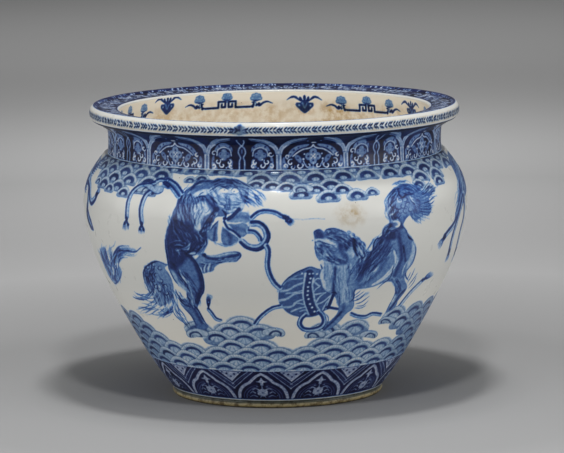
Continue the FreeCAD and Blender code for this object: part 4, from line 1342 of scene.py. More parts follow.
def brocade_ball(b):
    """The brocade ball with its beaded band, star stripes and ribbons."""
    b.wash(0.69, 278.5, 294.5, 279.5, 289.5, 283, 283.5, 288, 277.5, 294.5, 273.5, 300, 270.5, 305.5,
        268.5, 311, 267, 316, 268.5, 321, 270, 320, 277, 322.5, 284.5, 325, 290, 331, 294, 332, 301, 329.5,
        308, 324, 311, 318, 315, 311, 317, 304, 317, 297, 316.5, 290, 314, 284.5, 310, 280, 304.5, 278.5,
        299.5)
    b.tint(0.62, 2, 303.5, 270.5, 310.5, 267, 316, 269, 320.5, 270, 318, 273.5, 311, 272.5)
    b.pale(2.2, 0.4, 283, 284.5, 288, 279.5, 294.5, 279, 303, 278.5)
    b.pale(2.2, 0.5, 286, 281, 288.5, 280.5, 297, 275.5, 303.5, 274)
    b.pale(2.6, 0.3, 278, 291.5, 288, 290, 295.5, 285.5, 303.5, 282.5)
    b.pale(2.8, 0.3, 279.5, 300.5, 287.5, 298.5, 294.5, 294, 303.5, 292.5)
    b.pale(2.0, 0.3, 286.5, 293.5, 295, 292.5, 303.5, 290)
    b.pale(2.6, 0.3, 280.5, 307.5, 291.5, 306.5, 297, 301.5, 303.5, 299.5)
    b.pale(1.6, 0.3, 294.5, 303, 300, 303.5, 304, 304.5)
    b.pale(2.2, 0.3, 291.5, 311.5, 298.5, 308.5, 305.5, 307)
    b.pale(1.4, 0.3, 300, 311.5, 304, 310, 307, 310.5)
    b.pale(1.6, 0.35, 294.5, 286.5, 300, 284.5, 303.5, 283)
    b.band(8.6, 0.86, 309.5, 273.5, 308.5, 283, 308, 293.5, 309.5, 303.5, 313, 312)
    b.pale(1.9, 0.22, 305.5, 273.5, 304, 283, 303, 293.5, 304.5, 303.5, 309, 315)
    b.pale(1.9, 0.22, 313.5, 278.5, 312.5, 285.5, 313.5, 293.5, 315.5, 303, 319, 309, 322.5, 312)
    b.beads(2.1, 0.04, 310.5, 278.5, 309.5, 282.5, 308, 287, 308, 291, 307.5, 295, 308.5, 299, 310, 304,
        312, 307.5, 314.5, 311.5)
    b.beads(1.9, 0.15, 302, 273.5, 305.5, 273.5, 309.5, 274, 313, 273.5, 317, 274)
    b.pale(1.7, 0.25, 314, 281, 317.5, 278.5, 320, 279)
    b.pale(1.7, 0.25, 314.5, 282, 318.5, 285.5, 320, 286, 315.5, 289.5, 314.5, 291.5)
    b.pale(1.9, 0.25, 314.5, 294.5, 318, 294, 325, 292.5)
    b.pale(1.9, 0.25, 316, 302, 320, 296.5, 326, 292.5)
    b.pale(1.9, 0.25, 316.5, 304.5, 323.5, 301.5, 331.5, 294.5)
    b.pale(1.9, 0.25, 331.5, 295, 328.5, 301, 326, 309)
    b.pale(1.6, 0.25, 322.5, 310, 326, 303, 327.5, 301)
    b.ink(1.2, 0.8, 279, 293.5, 283, 283.5, 294.5, 273.5, 305.5, 268.5, 311, 267, 321, 270)
    b.band(3.0, 0.86, 326.5, 307, 338, 309)
    b.band(3.2, 0.9, 333.5, 294.5, 331, 301, 328, 308)


def ribbons(b):
    """The fluttering ribbons, each dark along one edge and pale along the other."""
    b.ribbon(4.6, 155.5, 182, 160.5, 179.5, 166.5, 180.5, 168, 179.5, 176, 184.5, 182, 193)
    b.ribbon(4.8, 163.5, 184.5, 169.5, 187, 164.5, 182.5, 171, 186.5, 178.5, 196.5)
    b.ribbon(4.4, 126.5, 218, 127, 208, 128.5, 199.5, 132.5, 191.5, 140, 185.5, 148.5, 184.5, 155.5, 182.5)
    b.ribbon(5.0, 141.5, 223, 140.5, 212, 142, 203, 146, 194.5, 153, 189)
    b.wash(0.30, 144.5, 184.5, 150.5, 184, 154.5, 186.5, 162.5, 185.5, 163.5, 189.5, 158.5, 193.5, 153.5,
        192.5, 148.5, 188.5)
    b.ink(1.2, 0.8, 143, 185.5, 150.5, 190.5, 156.5, 194, 162.5, 191.5, 163.5, 187.5)
    b.ink(1.0, 0.7, 146, 183.5, 152.5, 184.5, 155.5, 189.5)
    b.tassel(3.4, 126.5, 218.5, 125.5, 230.5)
    b.tassel(3.4, 141.5, 223.5, 141.5, 234)
    b.beads(3.2, 0.92, 126.5, 219.5, 124.6, 223.5, 128.2, 224.5, 141.5, 224.5, 139.8, 229, 143.4, 229.5)
    b.ribbon(4.6, 251.5, 218, 257.5, 213, 265, 211, 275, 212.5, 281.5, 216, 287.5, 218)
    b.tassel(3.6, 284.5, 217, 293.5, 224.5)
    b.beads(3.4, 0.9, 284, 216.5, 287.6, 217.6, 286.6, 220.8, 290.6, 221.4)
    b.ribbon(6.4, 251.5, 223.5, 258.5, 223.5, 264, 227.5, 266.5, 233, 266.5, 239, 262, 245.5, 255.5, 248,
        248, 246.5, 241.5, 241.5)
    b.ink(1.4, 0.9, 251, 221, 257.5, 221, 265, 225.5, 269.5, 232.5, 269.5, 239, 265, 247, 257.5, 251, 250,
        250, 243.5, 247, 239, 241.5)
    b.ribbon(4.6, 248.5, 231, 254.5, 232, 259.5, 237, 260.5, 240.5)
    b.ribbon(5.4, 266.5, 246, 268.5, 251.5, 267.5, 264.5, 269.5, 274, 274, 282.5, 279.5, 288)
    b.ribbon(4.2, 255, 324, 259, 318.5, 265.5, 312.5, 272.5, 308, 280.5, 306)
    b.ribbon(5.0, 305.5, 314.5, 301, 319, 300, 324.5, 304, 329, 313, 329.5, 321, 326.5, 324, 321, 322.5,
        315.5, 319, 311.5)
    b.ink(1.0, 0.7, 300, 317, 297.5, 322.5, 298.5, 326.5, 304, 331, 308.5, 331.5)
    b.ink(1.0, 0.7, 323.5, 312, 328, 317, 327.5, 322.5, 323.5, 326)
    b.ribbon(3.6, 208.5, 309, 212.5, 314, 216, 318.5, 221, 320.5)
    b.wash(0.30, 206.5, 296, 207, 294, 212.5, 296, 211, 300.5, 208.5, 301)
    b.tassel(2.2, 208.5, 308.5, 208.5, 296)
    b.ribbon(4.0, 351, 313.5, 357, 316, 365.5, 316.5, 372.5, 313.5, 381, 314.5)
    b.ribbon(3.4, 399.5, 305.5, 410, 292.5, 423.5, 279)
    b.tassel(2.4, 422.5, 280.5, 433, 272.5)


def side_plume(b):
    """A great plume with three ribbons, at the vessel's side between the front painting and its repeat."""
    b.wash(0.6, -78, 212, -74, 226, -60, 240, -52, 256, -38, 276, -12, 284, 16, 281, 34, 270, 40, 256, 28,
        246, 8, 240, -14, 237, -34, 233, -48, 226, -62, 216)
    b.fur(26, 18, 150, 0.7, 36, 266, 10, 272, -18, 266, -42, 248, -70, 222)
    b.fur(16, 14, 80, 0.6, 34, 254, 8, 250, -20, 248, -46, 234)
    for strand in range(16):
        x, y = 20 + 0.6 * strand, 246 + 2.1 * strand
        bend, tip = y - 3 + 0.6 * strand, y - 4 + 0.7 * strand
        b.ink(b.chance.uniform(1.4, 2.6), 0.75, x, y, x + 12, bend, x + 24, tip)
    b.lift(3.0, 0.6, 26, 262, 2, 268, -22, 260, -44, 240)
    b.curls(9, 0.7, -8, 258, 6, 256, -20, 252)
    b.ribbon(8.0, -46, 236, -58, 226, -66, 217, -80, 207, -92, 201, -98, 196)
    b.ribbon(8.0, -46, 236, -60, 222, -69, 208, -73, 192, -68, 174)
    b.ribbon(10.0, -40, 236, -37, 212, -43, 194, -33, 170)
    b.tassel(6.0, -97, 198, -106, 186)
    b.tassel(5.0, -69, 177, -65, 164)
    b.tassel(6.0, -34, 172, -30, 158)
    b.ribbon(8.0, 30, 262, 52, 252, 62, 236, 56, 220, 66, 210)
    b.ink(16, 0.8, 58, 230, 60, 219, 68, 211, 76, 206)
    b.lift(4.0, 0.5, 60, 222, 65, 214, 72, 209)
    b.ribbon(8.0, 36, 256, 58, 250, 74, 236, 86, 240, 90, 247)
    b.tassel(5.0, 89, 245, 94, 254)


def loose_tuft(b):
    """A curling tuft of hair that floats near the left edge."""
    b.tint(0.46, 2.2, 99.5, 249, 104.5, 247, 108.5, 258, 113.5, 270, 119.5, 266, 121.5, 275, 116.5, 282.5,
        110, 277, 103.5, 264)
    b.tint(0.4, 1.6, 113, 264, 115, 252, 124, 247, 136, 250, 127, 254, 119.5, 262)
    b.shade(4.5, 0.5, 101.5, 253, 105.5, 263, 110.5, 273, 115.5, 279.5)
    b.shade(4.0, 0.5, 115.5, 275, 114, 265, 115.5, 255, 119.5, 249.5)
    b.ink(1.8, 0.7, 101, 249.5, 103.5, 260, 108.5, 270, 114.5, 278.5)
    b.ink(1.6, 0.7, 105.5, 250.5, 107, 259, 110.5, 267, 114, 273)
    b.ink(1.4, 0.6, 102.5, 257, 106.5, 267, 111.5, 276, 116.5, 282.5)
    b.ink(2.0, 0.7, 110.5, 271, 112.5, 260, 114.5, 253, 119.5, 246.5, 129, 246)
    b.ink(2.2, 0.9, 113.5, 268, 115.5, 257, 119.5, 251, 128, 251, 135, 252, 141, 247.5)
    b.ink(1.6, 0.6, 116, 268, 118.5, 257, 125, 253.5, 134, 255)
    b.ink(1.5, 0.6, 119, 273, 118.5, 265, 120.5, 258.5, 127.5, 257.5)
    b.ink(1.6, 0.7, 107, 273, 111.5, 279.5, 115.5, 283.5, 120, 278.5, 122, 271)
    b.ink(1.4, 0.6, 109.5, 271, 114.5, 276, 118.5, 274, 119.5, 270)
    b.ink(1.0, 0.4, 102, 243.5, 101.5, 247.5, 103, 251.5)
    b.ink(1.0, 0.4, 106.5, 245, 105.5, 248.5, 106, 253)
    b.ink(1.0, 0.4, 115.5, 241, 114, 245.5, 111, 248, 110.5, 253)
    b.ink(1.0, 0.4, 104.5, 246.5, 105.5, 249.5)
    for guide in ((103, 252, 107, 262, 112, 272, 116, 281), (114, 274, 115, 262, 120, 253, 134, 251),
                  (108, 250, 109, 260, 113, 270, 116, 280)):
        b.fur(9, 10, 50, 0.6, *guide)


# Bands round the neck, lip, flange and foot, in millimetres across and up


def brush_at(sheet, turn, seed, lift=0.0, stretch_up=1.0, stretch_across=1.0):
    """A brush that works in millimetres across and up from a middle line at a turn."""
    def place(points):
        length = (points[:, 1] - lift) * stretch_up
        radius = np.interp(length, sheet.lengths, sheet.radii)
        return np.stack([turn + points[:, 0] * stretch_across / radius, length], 1)
    return Brush(Pen(sheet, place), seed, 1.0)


def in_range(turn):
    """The same turn between -180 and 180 degrees."""
    return (turn + math.pi) % (2 * math.pi) - math.pi


def both(draw, *strokes):
    """Draws strokes and their mirror images about the panel's middle."""
    for width, tone, *numbers in strokes:
        draw(width, tone, *numbers)
        draw(width, tone, *(pairs(numbers) * (-1, 1)).ravel())


GROUND_SEED = 17
GROUND_WAVES = range(3, 60)
GROUND_WAVER = 0.03
SCROLL_TURN = 4.8
SCROLL_DRAWN_IN = 0.72


def ground(sheet, low, high, tone, hue=1.0):
    """A painted ground between two lengths, laid in uneven washes."""
    chance = np.random.default_rng(GROUND_SEED)
    rows = (sheet.lengths >= low) & (sheet.lengths < high)
    waver = np.zeros(sheet.columns)
    turns = np.arange(sheet.columns) * sheet.column_turn
    for wave in GROUND_WAVES:
        waver += np.sin(turns * wave + chance.uniform(0, 6.3)) * GROUND_WAVER / wave**0.4
    sheet.cobalt[rows] = np.clip(tone + waver, 0, 1)
    sheet.hue[rows] = hue


def spiral(b, x, y, size, start, way=1, width=1.35, tone=0.0):
    """A white scroll that winds in on itself."""
    t = np.linspace(0, 1, 9)
    angle = start + way * t * SCROLL_TURN
    radius = size * (1 - SCROLL_DRAWN_IN * t)
    points = np.stack([x + radius * np.cos(angle), y + radius * np.sin(angle)], 1)
    b.pen.line(points, np.array([0.6, 1.1, 0.9]) * width, tone, "cover")


def blossom(b, x, y, size, petals, tone=0.24, heart=0.85, start=math.pi / 2):
    """A small flower of round petals with a dark heart."""
    for petal in range(petals):
        angle = start + petal * 2 * math.pi / petals
        b.dab(size * 0.95, tone, x + size * 0.55 * math.cos(angle), y + size * 0.55 * math.sin(angle))
    b.dab(size * 0.45, heart, x, y)


SEEN_PILLARS = [-71.1, -47.3, -23.1, 1.3, 24.2, 48.0, 71.8]
PILLARS = np.radians(SEEN_PILLARS + [71.8 + 21.71 * k for k in range(1, 10)])
PANEL_RADIUS = 183
PANEL_LEAVES = 46
NECK_FOOT = 0.9
NECK_TALL = 26.6
CORBEL_LONG = 18.9
CORBEL_SEEN = 7.5
LIP_SHADED = 2.4


def arcade():
    """The neck's arcade of wide cartouches and paired panels; its arches run up under the rim."""
    ground(NECK, NECK_FOOT, NECK.lengths[-1] + 1, 0.98, 0.5)
    ground(LIP, 0, CORBEL_LONG + LIP_SHADED, 0.96, 0.4)
    corbel = CORBEL_LONG / CORBEL_SEEN
    edges = list(PILLARS) + [PILLARS[0] + 2 * math.pi]
    for sheet, lift, stretch_up in ((NECK, 0.0, 1.0), (LIP, NECK_TALL, corbel)):
        for number, (left, right) in enumerate(zip(edges, edges[1:])):
            half = (right - left) / 2 * PANEL_RADIUS
            middle = in_range((left + right) / 2)
            b = brush_at(sheet, middle, number, lift, stretch_up)
            for _ in range(PANEL_LEAVES):
                x, y = b.chance.uniform(4 - half, half - 4), b.chance.uniform(1, 25)
                bend = b.chance.uniform(-2.6, 2.6, 2)
                b.ink(b.chance.uniform(1.6, 2.8), -0.34, x, y, *(np.array([x, y]) + bend),
                      x + bend[0] * 2, y + bend[1])
            (wide_panel if number % 2 else narrow_pair)(b, half)
            pillar(brush_at(sheet, middle + (right - left) / 2, number, lift, stretch_up))
    NECK.cobalt[NECK.lengths < NECK_FOOT] = 0.12
    # painted shade: black along the rim's lower edge, on both the corbel and the lip
    LIP.cobalt[np.abs(LIP.lengths - CORBEL_LONG) < LIP_SHADED] = 1.0


def leaf(b, x, way, tone, *numbers):
    """A filled shape beside a middle line, mirrored where way is -1."""
    b.pen.fill([(x + way * u, y) for u, y in pairs(numbers)], tone, soft=0.8)


def pillar(b):
    """A short banded pillar under a pointed cap."""
    b.pen.line([(0, 0.6), (0, 17.2)], 5.4, 0.34, "cover", smooth=False)
    both(b.band, (1.1, 0.12, 2.2, 0.8, 2.2, 17.0))
    b.band(1.0, 0.7, -2.8, 17.2, 2.8, 17.2)
    b.pen.fill([(-2.6, 18), (2.6, 18), (3.2, 20), (0, 22.5), (-3.2, 20)], 0.36)
    b.shade(1.2, 0.4, 0, 2, 0, 15)


def arch(b, half):
    """The broad pale arch that springs from both pillars."""
    both(b.band, (4.2, 0.34, half - 1.4, 17.8, half - 2.2, 21.5, half - 4.6, 25.0, half - 9.5, 28.4,
                  half - 16, 30.8, half * 0.3, 32.6))
    both(b.band, (0.8, 0.12, half - 2.9, 18.2, half - 3.9, 21.2, half - 6.2, 24.2, half - 10.6, 27.2,
                  half - 17, 29.3, half * 0.28, 31.0))
    both(b.band, (0.8, 0.14, half - 0.2, 18.6, half - 0.8, 22.0, half - 3.2, 26.2, half - 8.4, 29.7,
                  half - 15, 32.2))


def wide_panel(b, half):
    """A bracket-pointed cartouche with a four-petalled blossom among white scrolls."""
    arch(b, half)
    for way in (-1, 1):
        leaf(b, 0, way, 0.42, 27.6, 12.4, 25.4, 19.6, 19.8, 24.4, 12.6, 26.6, 4.4, 26.9, 7.0, 24.6,
             13.6, 22.8, 19.0, 19.4, 23.6, 14.2)
        b.dab(2.2, 0.86, way * 20.6, 21.2)
        b.dab(1.8, 0.84, way * 15.8, 23.8)
        b.dab(1.6, 0.84, way * 24.2, 17.2)
        leaf(b, 0, way, 0.46, 33.2, 0.6, 33.0, 11.0, 30.4, 14.0, 29.4, 8.6, 26.8, 5.0, 28.4, 1.6)
        b.dab(2.0, 0.8, way * 31.2, 6.6)
        leaf(b, 0, way, 0.48, 19.8, 16.2, 15.4, 15.4, 12.2, 11.0, 13.6, 7.0, 17.2, 9.6, 19.6, 13.0)
        b.dab(2.0, 0.84, way * 16.4, 12.4)
    both(b.band, (1.4, 0.06, 21.8, 14.6, 16.2, 18.8, 10.8, 21.7, 4.9, 22.7, 1.7, 24.1, 0.0, 26.6))
    b.band(2.4, 0.1, -1.6, 28.2, 1.6, 28.2)
    both(b.beads, (1.8, 0.3, 7.2, 29.6))
    blossom(b, 0, 14.2, 8.4, 4, 0.38, 0.86)
    for angle in (math.pi / 4, 3 * math.pi / 4):
        x, y = 3.0 * math.cos(angle), 3.0 * math.sin(angle)
        b.band(1.1, 0.02, -x, 14.2 - y, x, 14.2 + y)
    both(b.beads, (2.0, 0.9, 5.2, 14.2))
    b.beads(2.0, 0.9, 0, 9.6, 0, 18.8)
    for way in (-1, 1):
        spiral(b, way * 15.0, 4.6, 4.0, math.pi / 2 + way * 0.9, way)
        spiral(b, way * 24.0, 8.0, 3.8, math.pi / 2 + way * 0.4, -way)
        spiral(b, way * 5.2, 5.0, 3.2, math.pi / 2 - way * 1.2, -way)
        spiral(b, way * 22.2, 3.4, 2.8, -way * 0.6, way, 1.0)
        spiral(b, way * 27.2, 14.6, 2.6, way * 1.4, way)
        spiral(b, way * 29.6, 4.4, 2.6, way * 0.4, -way)
        b.dab(2.3, 0.04, way * 10.4, 11.4)
        b.dab(1.8, 0.06, way * 9.4, 16.6)
        b.band(1.1, 0.1, way * 11.6, 3.0, way * 9.6, 6.6, way * 10.6, 9.4)
    b.pale(4.2, 0.4, -3.6, 1.8, 3.6, 1.8)
    b.band(0.9, 0.14, 0, 2.4, 0, 8.0)


def narrow_pair(b, half):
    """Two narrow panels beside a stem, each with a lobed arch, a blossom and scrolls."""
    arch(b, half)
    both(b.band, (1.5, 0.26, 2.8, 1.0, 2.8, 9.5, 1.6, 13.5, 3.8, 18.6, 2.8, 23.2, 0.0, 25.8))
    b.band(2.8, 0.9, 0, 23.2, 0, 17.6)
    b.band(1.1, 0.36, 0, 21.8, 0, 18.4)
    both(b.band, (1.5, 0.24, 0.0, 25.8, 3.2, 28.8, 3.8, 31.0))
    b.dab(2.2, 0.9, 0, 29.4)
    for way in (-1, 1):
        x = way * half / 2
        leaf(b, x, way, 0.44, -9.6, 19.4, -8.6, 24.6, -4.0, 27.6, 1.6, 28.2, 7.4, 26.0, 10.4, 21.4,
             8.4, 20.6, 4.4, 24.2, -2.0, 25.4, -6.8, 22.4)
        b.dab(2.0, 0.86, x - way * 6.6, 24.8)
        b.dab(2.0, 0.86, x + way * 5.4, 25.2)
        b.dab(15, 0.92, x, 16.4)
        b.beads(6.0, 0.44, x - 3.4, 16.0, x + 3.4, 16.0, x, 19.4, x, 13.2)
        b.beads(1.6, 0.84, x - 4.0, 17.0, x + 4.0, 17.0)
        b.band(1.4, 0.12, x - 8.0, 15.4, x - 6.6, 21.4, x, 24.4, x + 6.6, 21.4, x + 8.0, 15.4)
        leaf(b, x, way, 0.46, -8.4, 2.0, -9.6, 8.6, -7.0, 12.4, -5.6, 7.0, -3.4, 3.0)
        b.dab(1.8, 0.86, x - way * 7.2, 7.0)
        leaf(b, x, way, 0.46, 6.6, 1.4, 13.4, 1.2, 13.6, 12.0, 11.0, 14.6, 10.4, 7.4)
        b.dab(2.0, 0.86, x + way * 11.4, 9.0)
        spiral(b, x + way * 7.0, 9.4, 3.4, math.pi / 2 + way * 1.0, way)
        spiral(b, x + way * 2.0, 5.4, 3.6, math.pi / 2 - way * 0.6, -way)
        spiral(b, x - way * 5.4, 8.4, 2.8, math.pi / 2 + way * 0.2, way)
        spiral(b, x + way * 11.0, 17.4, 3.2, -way * 0.4, -way)
        spiral(b, x - way * 7.6, 4.2, 2.6, way * 0.8, way)
        spiral(b, x + way * 11.6, 4.4, 2.8, way * 2.0, -way)
        b.dab(1.9, 0.05, x + way * 2.2, 11.4)
        b.dab(1.6, 0.08, x - way * 2.4, 2.4)


LAPPETS = 13
LAPPET_TURN = math.radians(-7.4)
LAPPET_FOOT = 1.7
LAPPET_TOP = 45.3
LAPPET_LIGHTENED = 0.06
LAPPET_SEED, WEDGE_SEED = 40, 60


def lappet_band():
    """Pointed panels in doubled outlines above the foot, with a spotted triangle between tips."""
    ground(WALL, LAPPET_FOOT, LAPPET_TOP, 0.93)
    rows = (WALL.lengths > LAPPET_TOP - 0.9) & (WALL.lengths < LAPPET_TOP + 0.5)
    WALL.cobalt[rows], WALL.hue[rows] = 0.14, 0.6
    rows = WALL.lengths < LAPPET_FOOT
    WALL.cobalt[rows], WALL.hue[rows], WALL.stain[rows] = 0.14, -1.0, 0.2
    for number in range(LAPPETS):
        turn = in_range(LAPPET_TURN + number * 2 * math.pi / LAPPETS)
        b = brush_at(WALL, turn, LAPPET_SEED + number)
        both(
            b.band,
            (3.1, 0.32, 0, 41.2, 5.4, 37.6, 10.4, 32.2, 13.6, 28.2, 19.0, 24.6, 23.4, 19.0, 25.8, 12.0,
             26.4, 4.2),
            (0.7, 0.14, 0, 39.7, 4.8, 36.2, 9.6, 30.9, 12.8, 26.8, 17.8, 23.2, 21.9, 18.0, 24.1, 11.6,
             24.8, 4.4),
            (0.9, 0.2, 8.8, 43.6, 17.4, 35.0, 22.8, 28.6, 27.0, 24.0, 31.6, 18.6),
            (0.9, 0.2, 14.0, 43.8, 21.6, 37.2, 28.0, 30.6, 33.0, 25.0),
            (0.7, 0.62, 11.4, 43.4, 19.6, 36.0, 25.6, 29.4, 32.0, 22.2),
            (0.7, 0.4, 18.0, 4.4, 17.4, 10.0, 14.6, 15.2, 9.4, 20.0, 3.4, 22.4),
            (0.6, 0.5, 21.0, 4.4, 20.2, 11.0, 17.0, 17.0, 11.6, 22.0, 5.0, 24.6),
        )
        palmette = (-1.6, 24, -2, 28, -6.4, 29.6, -2.4, 31.4, 0, 35.6, 2.4, 31.4, 6.4, 29.6, 2, 28, 1.6, 24)
        b.pen.fill(pairs(palmette), 0.30, soft=0.6)
        b.dab(1.0, 0.6, 0, 30.0)
        b.band(1.0, 0.34, 0, 24.0, 0, 17.0)
        blossom(b, 0, 13.0, 6.0, 6, 0.32, 0.6)
        both(b.pale, (1.8, 0.34, 3.8, 17.6, 7.4, 19.4, 10.8, 17.0),
             (1.7, 0.36, 8.0, 12.4, 11.0, 14.4, 13.8, 11.6), (1.5, 0.4, 6.4, 6.6, 10.2, 8.6, 14.4, 6.0))
        both(b.beads, (1.3, 0.36, 5.4, 22.4), (1.2, 0.42, 15.6, 8.4))
        both(b.pale, (1.2, 0.4, 2.0, 7.4, 3.0, 5.0))
        b = brush_at(WALL, turn + math.pi / LAPPETS, WEDGE_SEED + number)
        wedge = (-12, 43.4, 12, 43.4, 7, 38, 3, 34, 0, 30.6, -3, 34, -7, 38)
        b.pen.fill(pairs(wedge), 0.34, smooth=False)
        both(b.band, (0.9, 0.14, 12.4, 43.6, 0, 30.2))
        both(b.beads, (2.6, 0.9, 4.4, 40.2), (2.4, 0.86, 9.4, 42.4))
        b.dab(2.0, 0.9, 0, 36.6)
        b.band(0.8, 0.2, -11.6, 43.3, 11.6, 43.3)
    # the whole band's paint made a little lighter
    WALL.cobalt[:int(LAPPET_TOP / WALL.pitch)] -= LAPPET_LIGHTENED


ROSETTE_TURN = math.radians(-10.5)
HUSK_STEP = 3.7
HUSK_MIDDLE = 9.0
HUSK_HALF = 5
LIP_RADIUS = 203
SIDE_SEEDS, ROSETTE_SEED = 500, 77


def husk_border():
    """Paired husk leaves round the lip, turning about at a rosette in front and behind."""
    corner = CORBEL_LONG + HUSK_MIDDLE
    zone = np.abs(LIP.lengths - corner) < HUSK_HALF
    LIP.hue[zone], LIP.stain[zone] = -0.9, 0.3
    steps = round(math.pi * LIP_RADIUS / HUSK_STEP)
    for side in range(2):
        for number in range(1, steps):
            way = 1 if number < steps / 2 else -1
            turn = in_range(ROSETTE_TURN + side * math.pi + number * math.pi / steps)
            b = brush_at(LIP, turn, side * SIDE_SEEDS + number, -corner)
            low, high, shift = b.chance.uniform(-0.7, 0.7, 3)
            root = shift - 1.7 * way
            b.ink(1.9, 1.0, root, 0.4, shift + 0.2 * way, 1.7 + low, shift + 2.2 * way, 3.4)
            b.ink(1.9, 0.95, root, -0.4, shift + 0.3 * way, -1.6 + high, shift + 2.0 * way, -3.2)
        turn = in_range(ROSETTE_TURN + side * math.pi)
        b = brush_at(LIP, turn, ROSETTE_SEED + side, -corner)
        b.shade(7, 0.5, -4, -0.6, 4, -0.6)
        blossom(b, 0, 0.4, 6.0, 6, 0.55, 0.9)
        both(b.ink, (1.4, 0.75, 3.6, 0.0, 7.4, 1.8, 10.0, 0.4), (1.2, 0.7, 3.6, -1.6, 7.0, -3.0, 9.6, -1.6))
        b.shade(3.4, 0.6, 0, 3.2, 0.6, 5.6)


FLANGE_GROUND = 21.8
FLANGE_FIELDS = 34
FLANGE_SEED, FIELD_SEED, CREST_SEED = 23, 100, 200
FIELD_HALF = 17
FIELD_SCROLLS = 13
FIELD_FLECKS = 16
CREST_FLECKS = 10
CREST_LONG = 5.2


def flange_scrolls():
    """The flange's dense scroll ground: white flecks and curls on deep blue."""
    ground(FLANGE, 0, FLANGE_GROUND, 0.92, 0.7)
    crest = LIP.lengths[-1] - CREST_LONG
    ground(LIP, crest, LIP.lengths[-1] + 1, 0.84, 0.7)
    chance = np.random.default_rng(FLANGE_SEED)
    for number in range(FLANGE_FIELDS):
        turn = number * 2 * math.pi / FLANGE_FIELDS - math.pi
        b = brush_at(FLANGE, turn, FIELD_SEED + number)
        for _ in range(FIELD_SCROLLS):
            x, y = chance.uniform(-FIELD_HALF, FIELD_HALF), chance.uniform(2.0, FLANGE_GROUND - 2.0)
            spiral(b, x, y, chance.uniform(2.2, 3.6), chance.uniform(0, 6.3), chance.choice([-1, 1]),
                   chance.uniform(1.0, 1.6), chance.uniform(0.0, 0.22))
        for _ in range(FIELD_FLECKS):
            x, y = chance.uniform(-FIELD_HALF, FIELD_HALF), chance.uniform(0.6, FLANGE_GROUND - 6)
            across, long = chance.uniform(-2, 2), chance.uniform(2, 7)
            width, tone = chance.uniform(1.0, 1.9), chance.uniform(0.0, 0.32)
            b.pale(width, tone, x, y, x + across, y + long / 2, x, y + long)
        b = brush_at(LIP, turn, CREST_SEED + number, -crest)
        for _ in range(CREST_FLECKS):
            x, y = chance.uniform(-FIELD_HALF, FIELD_HALF), chance.uniform(1.0, CREST_LONG)
            width, tone = chance.uniform(1.0, 1.8), chance.uniform(0.02, 0.4)
            b.pale(width, tone, x, y, x + chance.uniform(-2, 2), y + 3)
    for sheet, edge in ((LIP, crest), (FLANGE, FLANGE_GROUND - 0.8)):
        rows = np.abs(sheet.lengths - edge) < 0.4
        sheet.cobalt[rows] = 0.95 if sheet is FLANGE else 0.8


MOUTH_MOTIFS = (
    ("vase", -135.1, -3.8), ("fret", -161.7, -3.6), ("vase", 168.3, 1.6), ("fret", 142.2, -0.4),
    ("vase", 116.5, 0), ("fret", 90.9, 0), ("vase", 65.3, 0), ("fret", 39.7, 0), ("vase", 14.1, 0),
    ("fret", -11.5, 0), ("vase", -37.1, 0), ("fret", -62.7, 0), ("vase", -88.0, 0), ("fret", -110.0, -1),
)
MOTIF_SEED, BLOTCH_SEED = 300, 31
MOUTH_BLOTCHES, BOWL_BLOTCHES = 420, 260
# The inside mixed to a brighter cream: the glaze's own warm tone there, and painted light on the dim
# inside; lower values add ochre
MOUTH_CREAM_AND_LIGHT = -1.0
BOWL_CREAM_AND_LIGHT = -1.3


def mouth_motifs():
    """Inside the mouth: flower vases with flying tendrils between frets that carry fungus heads."""
    for number, (kind, degrees, drop) in enumerate(MOUTH_MOTIFS):
        b = brush_at(MOUTH, math.radians(degrees), MOTIF_SEED + number, drop, -1, -1)
        (vase if kind == "vase" else fret)(b)
    # a brighter cream inside, partly painted light, warmer and darker further down the mouth
    MOUTH.stain[:] = MOUTH_CREAM_AND_LIGHT - 0.45 * np.clip((MOUTH.lengths[:, None] - 8) / 16, 0, 1)
    BOWL.stain[:] = BOWL_CREAM_AND_LIGHT
    chance = np.random.default_rng(BLOTCH_SEED)
    for sheet, low, high, count, size in ((MOUTH, 12, 62, MOUTH_BLOTCHES, 9),
                                          (BOWL, 0, 290, BOWL_BLOTCHES, 24)):
        for _ in range(count):
            turn, length = chance.uniform(-math.pi, math.pi), chance.uniform(low, high)
            reach = size * chance.uniform(0.5, 2)
            patch = sheet.patch(np.array([[turn, length]]), reach)
            gap = np.hypot(patch.across(turn) * 0.6, patch.up(length) * 1.3) / reach
            cover = np.clip(1 - gap, 0, 1) ** 1.5 * chance.uniform(0.1, 0.7)
            patch.put(cover, chance.choice([-1.0, -1.9]), "cover", "stain")


def vase(b):
    """A flower vase as a dark heart-shaped pot with three buds and two tendrils."""
    half_pot = pairs((3.6, -8, 4.6, -11, 9.6, -11.4, 10.2, -15, 6.4, -19, 3.6, -21.6, 0, -23.6))
    b.pen.fill(np.vstack([half_pot * (-1, 1), half_pot[-2::-1]]), 0.8, soft=0.7)
    both(b.beads, (2.2, 0.3, 6.6, -14.4))
    b.pale(2.4, 0.5, -2.6, -12.0, 0, -17.0, 2.6, -12.0)
    b.ink(3.2, 0.9, -3.8, -9.0, -4.6, -6.6, -5.6, -4.6)
    b.ink(3.4, 0.9, 0, -8.6, 0, -5.0, 0.2, -2.6)
    b.ink(3.2, 0.9, 3.2, -9.0, 4.2, -6.6, 4.6, -4.0)
    both(b.ink, (2.8, 0.85, 4.6, -9.6, 8.4, -6.4, 11.4, -4.4, 15.6, -5.0, 20.4, -8.0))


